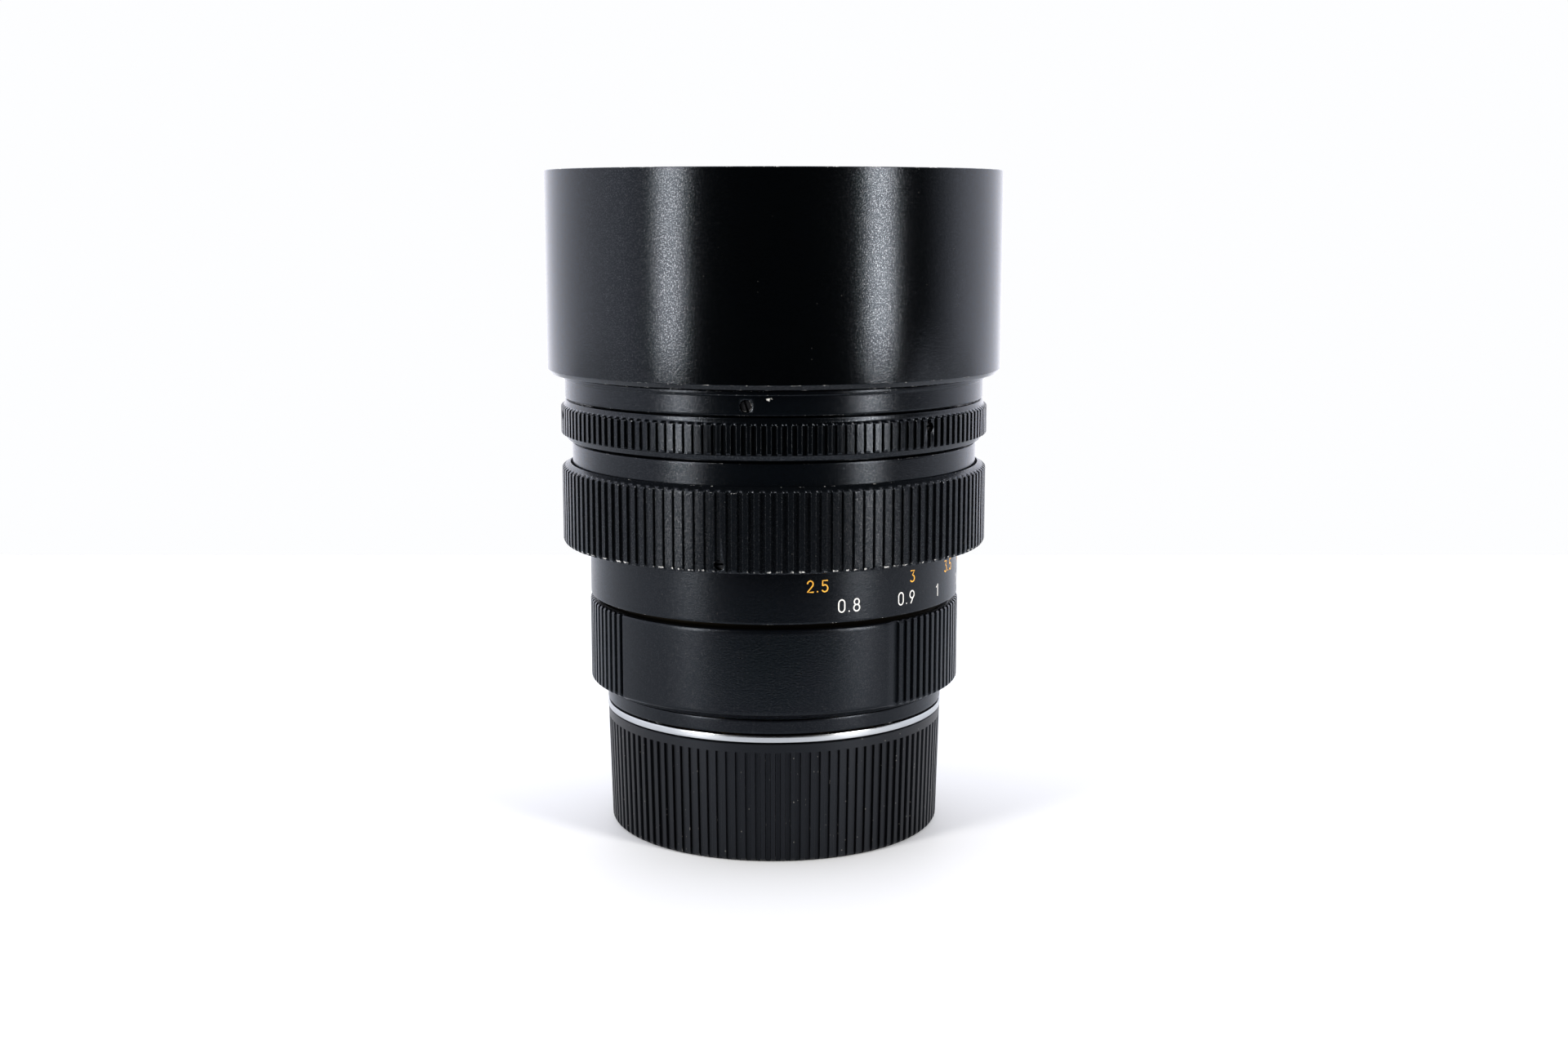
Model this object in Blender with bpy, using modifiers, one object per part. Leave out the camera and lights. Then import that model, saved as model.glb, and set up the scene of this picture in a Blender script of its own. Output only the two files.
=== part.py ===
"""Prime camera lens of 75 mm and f/1.4 for a rangefinder camera, with its rear cap.

The lens stands on its rear cap with its front up. Z is the optical axis, and the
origin is the centre of the cap's bottom. Sizes below are in millimetres, and MM
turns them into metres. Angles run anticlockwise seen from the front, and zero is
the side that faces -Y. At rest the lens is focused at infinity, its iris is open
and its sliding hood is pushed back.

Run with: blender --background --python part.py
"""

import math

import bmesh
import bpy
from mathutils import Matrix, Vector

MM = 0.001

# Facets around each kind of piece
OUTER = 40
INNER = 28
GLASS = 24
SMALL = 8

# Clearance between pieces that only sit together, and between a screw and its hole
GAP = 0.3
SCREW_GAP = 0.2

# Rear cap: a moulded cup with three hooks inside its rim
CAP_R = 25.95
CAP_FOOT_R = 25.5
CAP_TOP = 17.9
CAP_FLOOR = 1.6
CAP_FOOT_CHAMFER = 0.45
CAP_BORE_R = 23.2
CAP_HOOK_R = 21.2
CAP_HOOK_Z = (16.0, 17.3)
CAP_HOOK_SPAN = 30.0

# Bayonet flange, and its lugs as (middle angle, span)
FLANGE_R = 26.05
FLANGE_Z = (18.17, 19.16)
BAYONET_TUBE_R = 20.3
BAYONET_BORE_R = 19.3
BAYONET_BOTTOM = 14.3
LUG_R = 22.0
LUG_TOP = 15.8
LUGS = ((20.0, 48.0), (140.0, 44.0), (260.0, 40.0))
FLANGE_SCREW_COUNT = 4
FLANGE_SCREW_RING_R = 24.0
FLANGE_SCREW_HEAD_R = 1.3
FLANGE_SCREW_SHANK_R = 0.7
FLANGE_SCREW_Z = (18.3, 18.95, 21.0)

# Fixed barrel: step ring, guide sleeve and the ribbed outer ring
STEP_R = 26.0
STEP_BORE_R = 21.5
STEP_Z = (19.46, 21.5)
FIXED_R = 28.5
FIXED_Z = (22.9, 35.3)
FIXED_FOOT_R = 26.5
FIXED_FOOT_Z = 21.75
FIXED_BORE_R = 27.3
GUIDE_R = (23.5, 24.7)
GUIDE_Z = (21.8, 45.5)
GUIDE_FLANGE_R = 26.1
GUIDE_FLANGE_TOP = 23.0
KEY_SLOT_WIDTH = 3.2
KEY_SLOT_BOTTOM = 27.5
KEY_SIDES = (90.0, 270.0)
INDEX_SIDE = 173.4
BEAD_R = 0.9
BEAD_Z = 20.5

# Rangefinder cam sleeve
CAM_R = (17.6, 19.0)
CAM_Z = (10.67, 24.4)

# Focusing ring, its scale and its helicoid
GRIP_R = 32.5
GRIP_Z = (44.1, 55.55)
GRIP_SHOULDER = (31.3, 56.3)
GRIP_BORE_R = 31.2
GRIP_WEB_TOP = 46.5
GRIP_WEB_R = 28.7
GRIP_CHAMFER = 0.3
SCALE_R = (27.2, 28.4)
SCALE_Z = (36.1, 46.2)
HELICOID_R = (25.0, 26.9)
HELICOID_Z = (24.5, 47.9)
HELICOID_FLANGE_R = 30.9
HELICOID_FLANGE_Z = 46.8
GRIP_SCREW_Z = 45.3
GRIP_SCREW_SIDE = -13.5

# Head: the barrel that moves forward without turning
NECK_R = (29.9, 30.9)
NECK_Z = (48.4, 59.45)
HEAD_WEB_Z = 57.0
HEAD_TUBE_R = (21.2, 23.1)
HEAD_TUBE_BOTTOM = 26.5
IRIS_CASE_R = (28.2, 29.0)
IRIS_CASE_TOP = 65.9
KEY_R = (23.4, 24.6)
KEY_WIDTH = 2.4
KEY_Z = (28.0, 36.0)

# Front barrel, filter seat and hood
FRONT_BAND_R = 31.9
FRONT_BAND_Z = (66.25, 69.1)
FRONT_LIP_R = 32.1
FRONT_LIP_TOP = 69.7
FRONT_TUBE_R = 31.6
FRONT_TOP = 96.5
FRONT_SPIGOT_R = (26.5, 27.9)
FRONT_SPIGOT_BOTTOM = 65.0
FRONT_FLOOR = 68.0
FRONT_BORE_R = 28.4
FILTER_R = 30.0
FILTER_SEAT_Z = 92.5
FRONT_SCREW_Z = 67.54
FRONT_SCREW_SIDE = -6.7
FRONT_SCREW_DEPTH_R = 29.3
HOOD_STOP_Z = (95.3, 96.4)
HOOD_R = 34.5
HOOD_BORE_R = 33.2
HOOD_FOOT_BORE_R = 32.2
HOOD_FOOT_TOP = 70.9
HOOD_FOOT_R = 33.9
HOOD_FOOT_Z = 69.95
HOOD_CHAMFER_TOP = 70.65
HOOD_TOP = 100.05
HOOD_RIM_CHAMFER = 0.2
FELT_R = (31.9, 32.9)
FELT_Z = (71.2, 75.0)

# Aperture ring
AP_R = 32.55
AP_SHOULDER = (31.97, 65.95)
AP_KNURL_Z = (60.8, 64.9)
AP_RIM_R = 31.64
AP_RIM_TOP = 60.65
AP_BOTTOM = 59.95
AP_BORE_R = 29.3
AP_SCREW_Z = 63.8
AP_SCREW_SIDE = 43.2
AP_TRAVEL = 72.0
HALF_STOPS = 14
CLICK_SIDE = 100.0
CLICK_RING_R = 29.9
CLICK_NOTCH_R = 0.35
BALL_R = 0.5
BALL_Z = 59.35
BALL_BORE_R = 0.65
BALL_BORE_BOTTOM = 57.5
SPRING_COIL_R = 0.33
SPRING_WIRE_R = 0.07
SPRING_Z = (57.75, 58.7)
SPRING_TURNS = 3

# Iris: ten blades between a base plate with their pivots and a turning cam plate
BLADES = 10
BLADE_TURN = 36.0
BLADE_R = (17.5, 24.1)
BLADE_SPAN = 142.0
BLADE_THICKNESS = 0.15
BLADE_PITCH = 0.3
BLADE_BOTTOM = 60.75
PIVOT_RING_R = 25.9
LEVER = 3.4
LEVER_REST = -108.0
EAR_R = 0.8
PIN_R = 0.25
PIN_HOLE_R = 0.45
IRIS_PLATE_R = (17.8, 27.9)
BASE_PLATE_Z = (59.75, 60.55)
CAM_PLATE_Z = (63.8, 64.6)
SLOT_STEPS = 9
SLOT_HALF = 0.36
DRIVE_SIDE = 30.0
DRIVE_KEY_R = (27.65, 30.3)
DRIVE_KEY_WIDTH = 1.4
DRIVE_KEY_Z = (63.9, 64.5)
DRIVE_NOTCH_R = 27.4
DRIVE_WINDOW_Z = (63.6, 64.8)
DRIVE_WINDOW_MARGIN = 5.0

# Set screws hold the focusing, aperture and front rings
SET_SCREW_R = 0.9
GRIP_SCREW_COUNT = 3
AP_SCREW_COUNT = 3
FRONT_SCREW_COUNT = 2

# Optical cells
FRONT_CELL_R = 28.1
FRONT_CELL_Z = (68.3, 91.2)
FRONT_GLASS_BORE = 27.2
FRONT_GLASS_SEAT = 82.2
DOUBLET_BORE = 22.6
DOUBLET_SEAT = 69.6
FRONT_LIP_BORE = 20.5
NAME_RING_R = (25.9, 28.1)
NAME_RING_Z = (84.4, 92.2)
DOUBLET_RING_R = (21.0, 22.3)
DOUBLET_RING_Z = (78.8, 80.2)
REAR_CELL_R = (18.6, 20.9)
REAR_CELL_Z = (30.0, 59.2)
REAR_LIP_R = 16.4
REAR_LIP_Z = 58.8
SPACER_R = (17.0, 18.3)
SPACER_WIDE_Z = (42.6, 48.3)
SPACER_NARROW_Z = (35.7, 38.8)
REAR_RING_R = (15.5, 18.3)
REAR_RING_Z = (30.5, 32.7)
BAFFLE_R = (16.2, 17.2)
BAFFLE_Z = (13.5, 29.7)

# Glass, from the front: rim radius, heights of the rim's top and bottom, heights of
# both surfaces on the axis, and the radius where a hollow rear or front surface ends
ELEMENTS = {
    "element_1_front": (26.9, 83.4, 82.5, 90.4, 85.2, 26.0, 25.6),
    "element_2_front_doublet": (22.3, 77.6, 76.4, 83.5, 76.4, 22.3, 22.3),
    "element_3_front_doublet": (22.3, 76.2, 69.9, 76.2, 74.8, 22.3, 17.6),
    "element_4_rear_doublet": (18.3, 58.5, 53.0, 54.6, 53.0, 15.5, 18.3),
    "element_5_rear_doublet": (18.3, 52.8, 49.5, 52.8, 43.7, 18.3, 18.3),
    "element_6": (18.3, 42.2, 39.5, 43.2, 36.9, 18.3, 18.3),
    "element_7_rear": (18.3, 35.3, 33.5, 36.2, 31.8, 18.3, 18.3),
}
GLASS_STEPS = 3

FINISHES = {
    "black_anodised": ((0.012, 0.012, 0.013), 0.38, 0.0),
    "black_plastic": ((0.02, 0.02, 0.021), 0.45, 0.0),
    "chrome": ((0.75, 0.75, 0.76), 0.2, 1.0),
    "steel": ((0.45, 0.45, 0.46), 0.35, 1.0),
    "blued_steel": ((0.03, 0.03, 0.04), 0.4, 0.8),
    "brass": ((0.72, 0.52, 0.22), 0.35, 1.0),
    "aluminium": ((0.6, 0.6, 0.62), 0.4, 1.0),
    "glass": ((0.9, 0.93, 0.95), 0.03, 0.0),
    "felt": ((0.015, 0.015, 0.015), 0.95, 0.0),
    "red_bead": ((0.6, 0.02, 0.02), 0.3, 0.0),
}


# ---------------------------------------------------------------- scene and finish


def clear_scene():
    for obj in list(bpy.data.objects):
        bpy.data.objects.remove(obj, do_unlink=True)


def new_collection(name):
    group = bpy.data.collections.new(name)
    bpy.context.scene.collection.children.link(group)
    return group


def new_material(name, finish):
    colour, roughness, metallic = FINISHES[finish]
    material = bpy.data.materials.new(name)
    material.use_nodes = True
    shader = material.node_tree.nodes["Principled BSDF"]
    shader.inputs["Base Color"].default_value = (*colour, 1.0)
    shader.inputs["Roughness"].default_value = roughness
    shader.inputs["Metallic"].default_value = metallic
    if finish == "glass":
        shader.inputs["Transmission Weight"].default_value = 1.0
    material.diffuse_color = (*colour, 1.0)
    return material


def polar(side, radius, z=0.0):
    """The point at an angle from the -Y side, a radius and a height, in millimetres."""
    angle = math.radians(side)
    return Vector((radius * math.sin(angle), -radius * math.cos(angle), z))


def around(first, count):
    """Evenly spaced sides, such as those of the set screws in one ring."""
    return [first + 360.0 * k / count for k in range(count)]


class Lens:
    """The collections that the pieces and the cutters go to, and the ways to make them."""

    def __init__(self):
        self.parts = new_collection("prime_camera_lens")
        self.cutters = new_collection("cutters")

    def piece(self, obj, finish):
        """Makes an object one of the lens's named pieces, with its own finish."""
        obj.data.materials.clear()
        obj.data.materials.append(new_material(obj.name, finish))
        self.parts.objects.link(obj)
        return obj

    def tool(self, obj):
        """Makes an object a cutter, or a shape to be joined to a piece."""
        self.cutters.objects.link(obj)
        obj.hide_render = True
        obj.display_type = "WIRE"
        return obj

    def combine(self, obj, tool, operation):
        modifier = obj.modifiers.new(tool.name, "BOOLEAN")
        modifier.operation = operation
        modifier.solver = "EXACT"
        modifier.object = tool

    def cut(self, obj, tool):
        self.combine(obj, self.tool(tool), "DIFFERENCE")

    def join(self, obj, tool):
        self.combine(obj, self.tool(tool), "UNION")


# ---------------------------------------------------------------- basic shapes


def turned(name, profile, steps, closed=True):
    """A ring from a profile of (radius, height) that runs down its outer side.

    A profile that isn't closed starts and ends on the axis, so it is a solid disc.
    """
    mesh = bpy.data.meshes.new(name)
    points = [(radius * MM, 0.0, z * MM) for radius, z in profile]
    edges = [(i, i + 1) for i in range(len(points) - 1)]
    if closed:
        edges.append((len(points) - 1, 0))
    mesh.from_pydata(points, edges, [])
    obj = bpy.data.objects.new(name, mesh)
    screw = obj.modifiers.new("turn", "SCREW")
    screw.axis = "Z"
    screw.steps = screw.render_steps = steps
    screw.use_merge_vertices = True
    screw.merge_threshold = 1e-5
    screw.use_smooth_shade = False
    return obj


def tube(name, radii, heights, steps):
    """A plain ring between two radii and two heights."""
    inner, outer = radii
    bottom, top = heights
    return turned(name, [(inner, top), (outer, top), (outer, bottom), (inner, bottom)], steps)


def outline(name, loops, bottom, top):
    """Flat plates with the given outlines, as one mesh: each loop is (x, y) points."""
    curve = bpy.data.curves.new(name, "CURVE")
    curve.dimensions = "2D"
    curve.fill_mode = "BOTH"
    curve.extrude = (top - bottom) / 2 * MM
    for loop in loops:
        spline = curve.splines.new("POLY")
        spline.points.add(len(loop) - 1)
        spline.use_cyclic_u = True
        for point, (x, y) in zip(spline.points, loop):
            point.co = (x * MM, y * MM, 0.0, 1.0)
    drawn = bpy.data.objects.new(name + "_outline", curve)
    bpy.context.scene.collection.objects.link(drawn)
    bpy.context.view_layer.update()
    graph = bpy.context.evaluated_depsgraph_get()
    mesh = bpy.data.meshes.new_from_object(drawn.evaluated_get(graph))
    bpy.data.objects.remove(drawn)
    weld(mesh)
    mesh.transform(Matrix.Translation((0.0, 0.0, (top + bottom) / 2 * MM)))
    return bpy.data.objects.new(name, mesh)


def weld(mesh):
    """Closes a mesh whose caps are loose and turns its faces out."""
    shape = bmesh.new()
    shape.from_mesh(mesh)
    bmesh.ops.remove_doubles(shape, verts=shape.verts, dist=1e-6)
    bmesh.ops.recalc_face_normals(shape, faces=shape.faces)
    shape.to_mesh(mesh)
    shape.free()


def arc(radius, start, end, steps):
    """Points (x, y) on a circle about the axis, between two sides."""
    sides = [start + (end - start) * i / steps for i in range(steps + 1)]
    return [tuple(polar(side, radius)[:2]) for side in sides]


def sector(radii, middle, span, steps=4):
    """The outline of a piece of a ring."""
    start, end = middle - span / 2, middle + span / 2
    return arc(radii[1], start, end, steps) + arc(radii[0], end, start, steps)


def rods(name, places, radius, length, steps=SMALL):
    """Cylinders as one mesh: each place is (centre in millimetres, direction)."""
    shape = bmesh.new()
    for centre, direction in places:
        turn = Vector((0, 0, 1)).rotation_difference(direction).to_matrix().to_4x4()
        bmesh.ops.create_cone(
            shape,
            cap_ends=True,
            segments=steps,
            radius1=radius * MM,
            radius2=radius * MM,
            depth=length * MM,
            matrix=Matrix.Translation(centre * MM) @ turn,
        )
    mesh = bpy.data.meshes.new(name)
    shape.to_mesh(mesh)
    shape.free()
    return bpy.data.objects.new(name, mesh)


def radial_rods(name, sides, z, inner, outer, radius):
    """Cylinders that point at the axis, such as the set screws of a ring."""
    middle = (inner + outer) / 2
    places = [(polar(side, middle, z), polar(side, 1.0)) for side in sides]
    return rods(name, places, radius, outer - inner)


def radial_boxes(name, sides, radii, width, heights):
    """Boxes that point at the axis, such as keys and the slots they run in."""
    shape = bmesh.new()
    size = (width, radii[1] - radii[0], heights[1] - heights[0])
    for side in sides:
        centre = polar(side, sum(radii) / 2, sum(heights) / 2)
        turn = Matrix.Rotation(math.radians(side), 4, "Z")
        matrix = Matrix.Translation(centre * MM) @ turn @ Matrix.Diagonal((*size, 1.0))
        scaled = matrix @ Matrix.Diagonal((MM, MM, MM, 1.0))
        bmesh.ops.create_cube(shape, size=1.0, matrix=scaled)
    mesh = bpy.data.meshes.new(name)
    shape.to_mesh(mesh)
    shape.free()
    return bpy.data.objects.new(name, mesh)


def set_screws(lens, ring, sides, z, inner, outer):
    """The set screws in a ring, and the holes that they sit in."""
    name = ring.name + "_screw"
    hole = SET_SCREW_R + SCREW_GAP
    lens.cut(ring, radial_rods(name + "_holes", sides, z, inner - 1.0, outer + 1.0, hole))
    for k, side in enumerate(sides, start=1):
        screw = radial_rods(f"{name}_{k}", [side], z, inner + GAP, outer - GAP, SET_SCREW_R)
        lens.piece(screw, "blued_steel")


# ---------------------------------------------------------------- rear cap


def make_rear_cap(lens):
    foot = CAP_FOOT_R - CAP_FOOT_CHAMFER
    profile = [
        (0.0, CAP_FLOOR),
        (CAP_BORE_R, CAP_FLOOR),
        (CAP_BORE_R, CAP_TOP),
        (CAP_R, CAP_TOP),
        (CAP_FOOT_R, CAP_FOOT_CHAMFER),
        (foot, 0.0),
        (0.0, 0.0),
    ]
    cap = turned("rear_cap", profile, OUTER, closed=False)
    overlap = CAP_BORE_R + 0.4
    loops = []
    for middle, _ in LUGS:
        loops.append(sector((CAP_HOOK_R, overlap), middle + 60.0, CAP_HOOK_SPAN))
    lens.join(cap, outline("cap_hooks", loops, *CAP_HOOK_Z))
    lens.piece(cap, "black_plastic")


# ---------------------------------------------------------------- fixed barrel


def make_flange(lens):
    bottom, top = FLANGE_Z
    profile = [
        (BAYONET_BORE_R, top),
        (FLANGE_R, top),
        (FLANGE_R, bottom),
        (BAYONET_TUBE_R, bottom),
        (BAYONET_TUBE_R, BAYONET_BOTTOM),
        (BAYONET_BORE_R, BAYONET_BOTTOM),
    ]
    flange = turned("bayonet_flange", profile, OUTER)
    overlap = BAYONET_TUBE_R - 0.5
    loops = [sector((overlap, LUG_R), middle, span) for middle, span in LUGS]
    lens.join(flange, outline("bayonet_lugs", loops, BAYONET_BOTTOM + 0.05, LUG_TOP))
    sides = around(45.0, FLANGE_SCREW_COUNT)
    up = Vector((0, 0, 1))
    middle = (bottom + top) / 2
    places = [(polar(side, FLANGE_SCREW_RING_R, middle), up) for side in sides]
    hole = FLANGE_SCREW_HEAD_R + SCREW_GAP
    lens.cut(flange, rods("flange_screw_holes", places, hole, 2.0))
    lens.piece(flange, "chrome")

    low, neck, high = FLANGE_SCREW_Z
    shank_low = neck - 0.2
    for k, side in enumerate(sides, start=1):
        name = f"flange_screw_{k}"
        head = polar(side, FLANGE_SCREW_RING_R, (low + neck) / 2)
        screw = rods(name, [(head, up)], FLANGE_SCREW_HEAD_R, neck - low)
        shank = polar(side, FLANGE_SCREW_RING_R, (shank_low + high) / 2)
        length = high - shank_low
        lens.join(screw, rods(name + "_shank", [(shank, up)], FLANGE_SCREW_SHANK_R, length))
        lens.piece(screw, "steel")
    return sides


def make_fixed_barrel(lens, screw_sides):
    step = tube("step_ring", (STEP_BORE_R, STEP_R), STEP_Z, OUTER)
    bottom = STEP_Z[0] - 1.0
    top = FLANGE_SCREW_Z[2] + SCREW_GAP
    up = Vector((0, 0, 1))
    places = [(polar(side, FLANGE_SCREW_RING_R, (bottom + top) / 2), up) for side in screw_sides]
    hole = FLANGE_SCREW_SHANK_R + SCREW_GAP
    lens.cut(step, rods("shank_holes", places, hole, top - bottom))
    seat = [(polar(INDEX_SIDE, STEP_R, BEAD_Z), polar(INDEX_SIDE, 1.0))]
    lens.cut(step, rods("bead_seat", seat, BEAD_R + SCREW_GAP, 2.0))
    lens.piece(step, "black_anodised")
    bead = [(polar(INDEX_SIDE, STEP_R - 0.25, BEAD_Z), polar(INDEX_SIDE, 1.0))]
    lens.piece(rods("mounting_index_bead", bead, BEAD_R - 0.1, 0.9), "red_bead")

    fixed = turned(
        "fixed_ring",
        [
            (FIXED_BORE_R, FIXED_Z[1]),
            (FIXED_R - 0.2, FIXED_Z[1]),
            (FIXED_R, FIXED_Z[1] - 0.2),
            (FIXED_R, FIXED_Z[0]),
            (FIXED_FOOT_R, FIXED_FOOT_Z),
            (FIXED_FOOT_R - 0.1, FIXED_FOOT_Z + 1.2),
            (FIXED_BORE_R, FIXED_FOOT_Z + 1.6),
        ],
        OUTER,
    )
    lens.piece(fixed, "black_anodised")

    guide = turned(
        "guide_sleeve",
        [
            (GUIDE_R[0], GUIDE_Z[1]),
            (GUIDE_R[1], GUIDE_Z[1]),
            (GUIDE_R[1], GUIDE_FLANGE_TOP),
            (GUIDE_FLANGE_R, GUIDE_FLANGE_TOP),
            (GUIDE_FLANGE_R, GUIDE_Z[0]),
            (GUIDE_R[0], GUIDE_Z[0]),
        ],
        INNER,
    )
    slot = (GUIDE_R[0] - 1.0, GUIDE_R[1] + 1.0)
    heights = (KEY_SLOT_BOTTOM, GUIDE_Z[1] + 1.0)
    lens.cut(guide, radial_boxes("key_slots", KEY_SIDES, slot, KEY_SLOT_WIDTH, heights))
    lens.piece(guide, "brass")


# ---------------------------------------------------------------- focusing


def make_focus(lens):
    lens.piece(tube("rangefinder_cam_sleeve", CAM_R, CAM_Z, INNER), "brass")

    bottom, top = GRIP_Z
    grip = turned(
        "focus_ring",
        [
            (GRIP_BORE_R, GRIP_SHOULDER[1]),
            GRIP_SHOULDER,
            (GRIP_R, top),
            (GRIP_R, bottom + GRIP_CHAMFER),
            (GRIP_R - GRIP_CHAMFER, bottom),
            (GRIP_WEB_R, bottom),
            (GRIP_WEB_R, GRIP_WEB_TOP),
            (GRIP_BORE_R, GRIP_WEB_TOP),
        ],
        OUTER,
    )
    sides = around(GRIP_SCREW_SIDE, GRIP_SCREW_COUNT)
    set_screws(lens, grip, sides, GRIP_SCREW_Z, GRIP_WEB_R, GRIP_R)
    lens.piece(grip, "black_anodised")
    lens.piece(tube("distance_scale_ring", SCALE_R, SCALE_Z, OUTER), "black_anodised")

    bottom, top = HELICOID_Z
    helicoid = turned(
        "focus_helicoid",
        [
            (HELICOID_R[0], top),
            (HELICOID_FLANGE_R, top),
            (HELICOID_FLANGE_R, HELICOID_FLANGE_Z),
            (HELICOID_R[1], HELICOID_FLANGE_Z),
            (HELICOID_R[1], bottom),
            (HELICOID_R[0], bottom),
        ],
        OUTER,
    )
    lens.piece(helicoid, "brass")


# ---------------------------------------------------------------- head and front


def make_head(lens):
    head = turned(
        "head_barrel",
        [
            (IRIS_CASE_R[0], IRIS_CASE_TOP),
            (IRIS_CASE_R[1], IRIS_CASE_TOP),
            (IRIS_CASE_R[1], NECK_Z[1]),
            (NECK_R[1], NECK_Z[1]),
            (NECK_R[1], NECK_Z[0]),
            (NECK_R[0], NECK_Z[0]),
            (NECK_R[0], HEAD_WEB_Z),
            (HEAD_TUBE_R[1], HEAD_WEB_Z),
            (HEAD_TUBE_R[1], HEAD_TUBE_BOTTOM),
            (HEAD_TUBE_R[0], HEAD_TUBE_BOTTOM),
            (HEAD_TUBE_R[0], NECK_Z[1]),
            (IRIS_CASE_R[0], NECK_Z[1]),
        ],
        OUTER,
    )
    window = AP_TRAVEL + 2 * DRIVE_WINDOW_MARGIN
    radii = (IRIS_CASE_R[0] - 1.0, IRIS_CASE_R[1] + 0.6)
    loop = sector(radii, DRIVE_SIDE + AP_TRAVEL / 2, window, steps=9)
    lens.cut(head, outline("drive_window", [loop], *DRIVE_WINDOW_Z))
    low, high = BALL_BORE_BOTTOM, NECK_Z[1] + 1.0
    bore = [(polar(CLICK_SIDE, CLICK_RING_R, (low + high) / 2), Vector((0, 0, 1)))]
    lens.cut(head, rods("ball_bore", bore, BALL_BORE_R, high - low))
    lens.piece(head, "black_anodised")
    for k, side in enumerate(KEY_SIDES, start=1):
        key = radial_boxes(f"guide_key_{k}", [side], KEY_R, KEY_WIDTH, KEY_Z)
        lens.piece(key, "steel")


def make_front_barrel(lens):
    front = turned(
        "front_barrel",
        [
            (FILTER_R, FRONT_TOP),
            (FRONT_TUBE_R, FRONT_TOP),
            (FRONT_TUBE_R, FRONT_LIP_TOP),
            (FRONT_LIP_R, FRONT_LIP_TOP),
            (FRONT_LIP_R, FRONT_BAND_Z[1]),
            (FRONT_BAND_R, FRONT_BAND_Z[1]),
            (FRONT_BAND_R, FRONT_BAND_Z[0]),
            (FRONT_SPIGOT_R[1], FRONT_BAND_Z[0]),
            (FRONT_SPIGOT_R[1], FRONT_SPIGOT_BOTTOM),
            (FRONT_SPIGOT_R[0], FRONT_SPIGOT_BOTTOM),
            (FRONT_SPIGOT_R[0], FRONT_FLOOR),
            (FRONT_BORE_R, FRONT_FLOOR),
            (FRONT_BORE_R, FILTER_SEAT_Z),
            (FILTER_R, FILTER_SEAT_Z),
        ],
        OUTER,
    )
    sides = around(FRONT_SCREW_SIDE, FRONT_SCREW_COUNT)
    set_screws(lens, front, sides, FRONT_SCREW_Z, FRONT_SCREW_DEPTH_R, FRONT_BAND_R)
    lens.piece(front, "black_anodised")
    stop_r = (FRONT_TUBE_R + GAP, HOOD_BORE_R - GAP)
    lens.piece(tube("hood_stop_ring", stop_r, HOOD_STOP_Z, OUTER), "black_anodised")


def make_hood(lens):
    hood = turned(
        "lens_hood",
        [
            (HOOD_BORE_R, HOOD_TOP),
            (HOOD_R - HOOD_RIM_CHAMFER, HOOD_TOP),
            (HOOD_R, HOOD_TOP - HOOD_RIM_CHAMFER),
            (HOOD_R, HOOD_CHAMFER_TOP),
            (HOOD_FOOT_R, HOOD_FOOT_Z),
            (HOOD_FOOT_BORE_R, HOOD_FOOT_Z),
            (HOOD_FOOT_BORE_R, HOOD_FOOT_TOP),
            (HOOD_BORE_R, HOOD_FOOT_TOP),
        ],
        OUTER,
    )
    lens.piece(hood, "black_anodised")
    lens.piece(tube("hood_felt_band", FELT_R, FELT_Z, INNER), "felt")


# ---------------------------------------------------------------- aperture


def make_aperture_ring(lens):
    ring = turned(
        "aperture_ring",
        [
            (AP_BORE_R, AP_SHOULDER[1]),
            AP_SHOULDER,
            (AP_R, AP_KNURL_Z[1]),
            (AP_R, AP_KNURL_Z[0]),
            (AP_RIM_R, AP_RIM_TOP),
            (AP_RIM_R, AP_BOTTOM),
            (AP_BORE_R, AP_BOTTOM),
        ],
        OUTER,
    )
    sides = around(AP_SCREW_SIDE, AP_SCREW_COUNT)
    set_screws(lens, ring, sides, AP_SCREW_Z, AP_BORE_R, AP_R)
    slot = (AP_BORE_R - 1.0, DRIVE_KEY_R[1] + GAP)
    width = DRIVE_KEY_WIDTH + 2 * GAP
    heights = DRIVE_WINDOW_Z
    lens.cut(ring, radial_boxes("ring_key_slot", [DRIVE_SIDE], slot, width, heights))
    half_stop = AP_TRAVEL / HALF_STOPS
    places = []
    for k in range(HALF_STOPS + 1):
        side = CLICK_SIDE - k * half_stop
        places.append((polar(side, CLICK_RING_R, AP_BOTTOM), polar(side, 1.0)))
    lens.cut(ring, rods("click_notches", places, CLICK_NOTCH_R, 1.0, steps=6))
    lens.piece(ring, "black_anodised")

    key = radial_boxes(
        "aperture_drive_key", [DRIVE_SIDE], DRIVE_KEY_R, DRIVE_KEY_WIDTH, DRIVE_KEY_Z
    )
    lens.piece(key, "brass")


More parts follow.
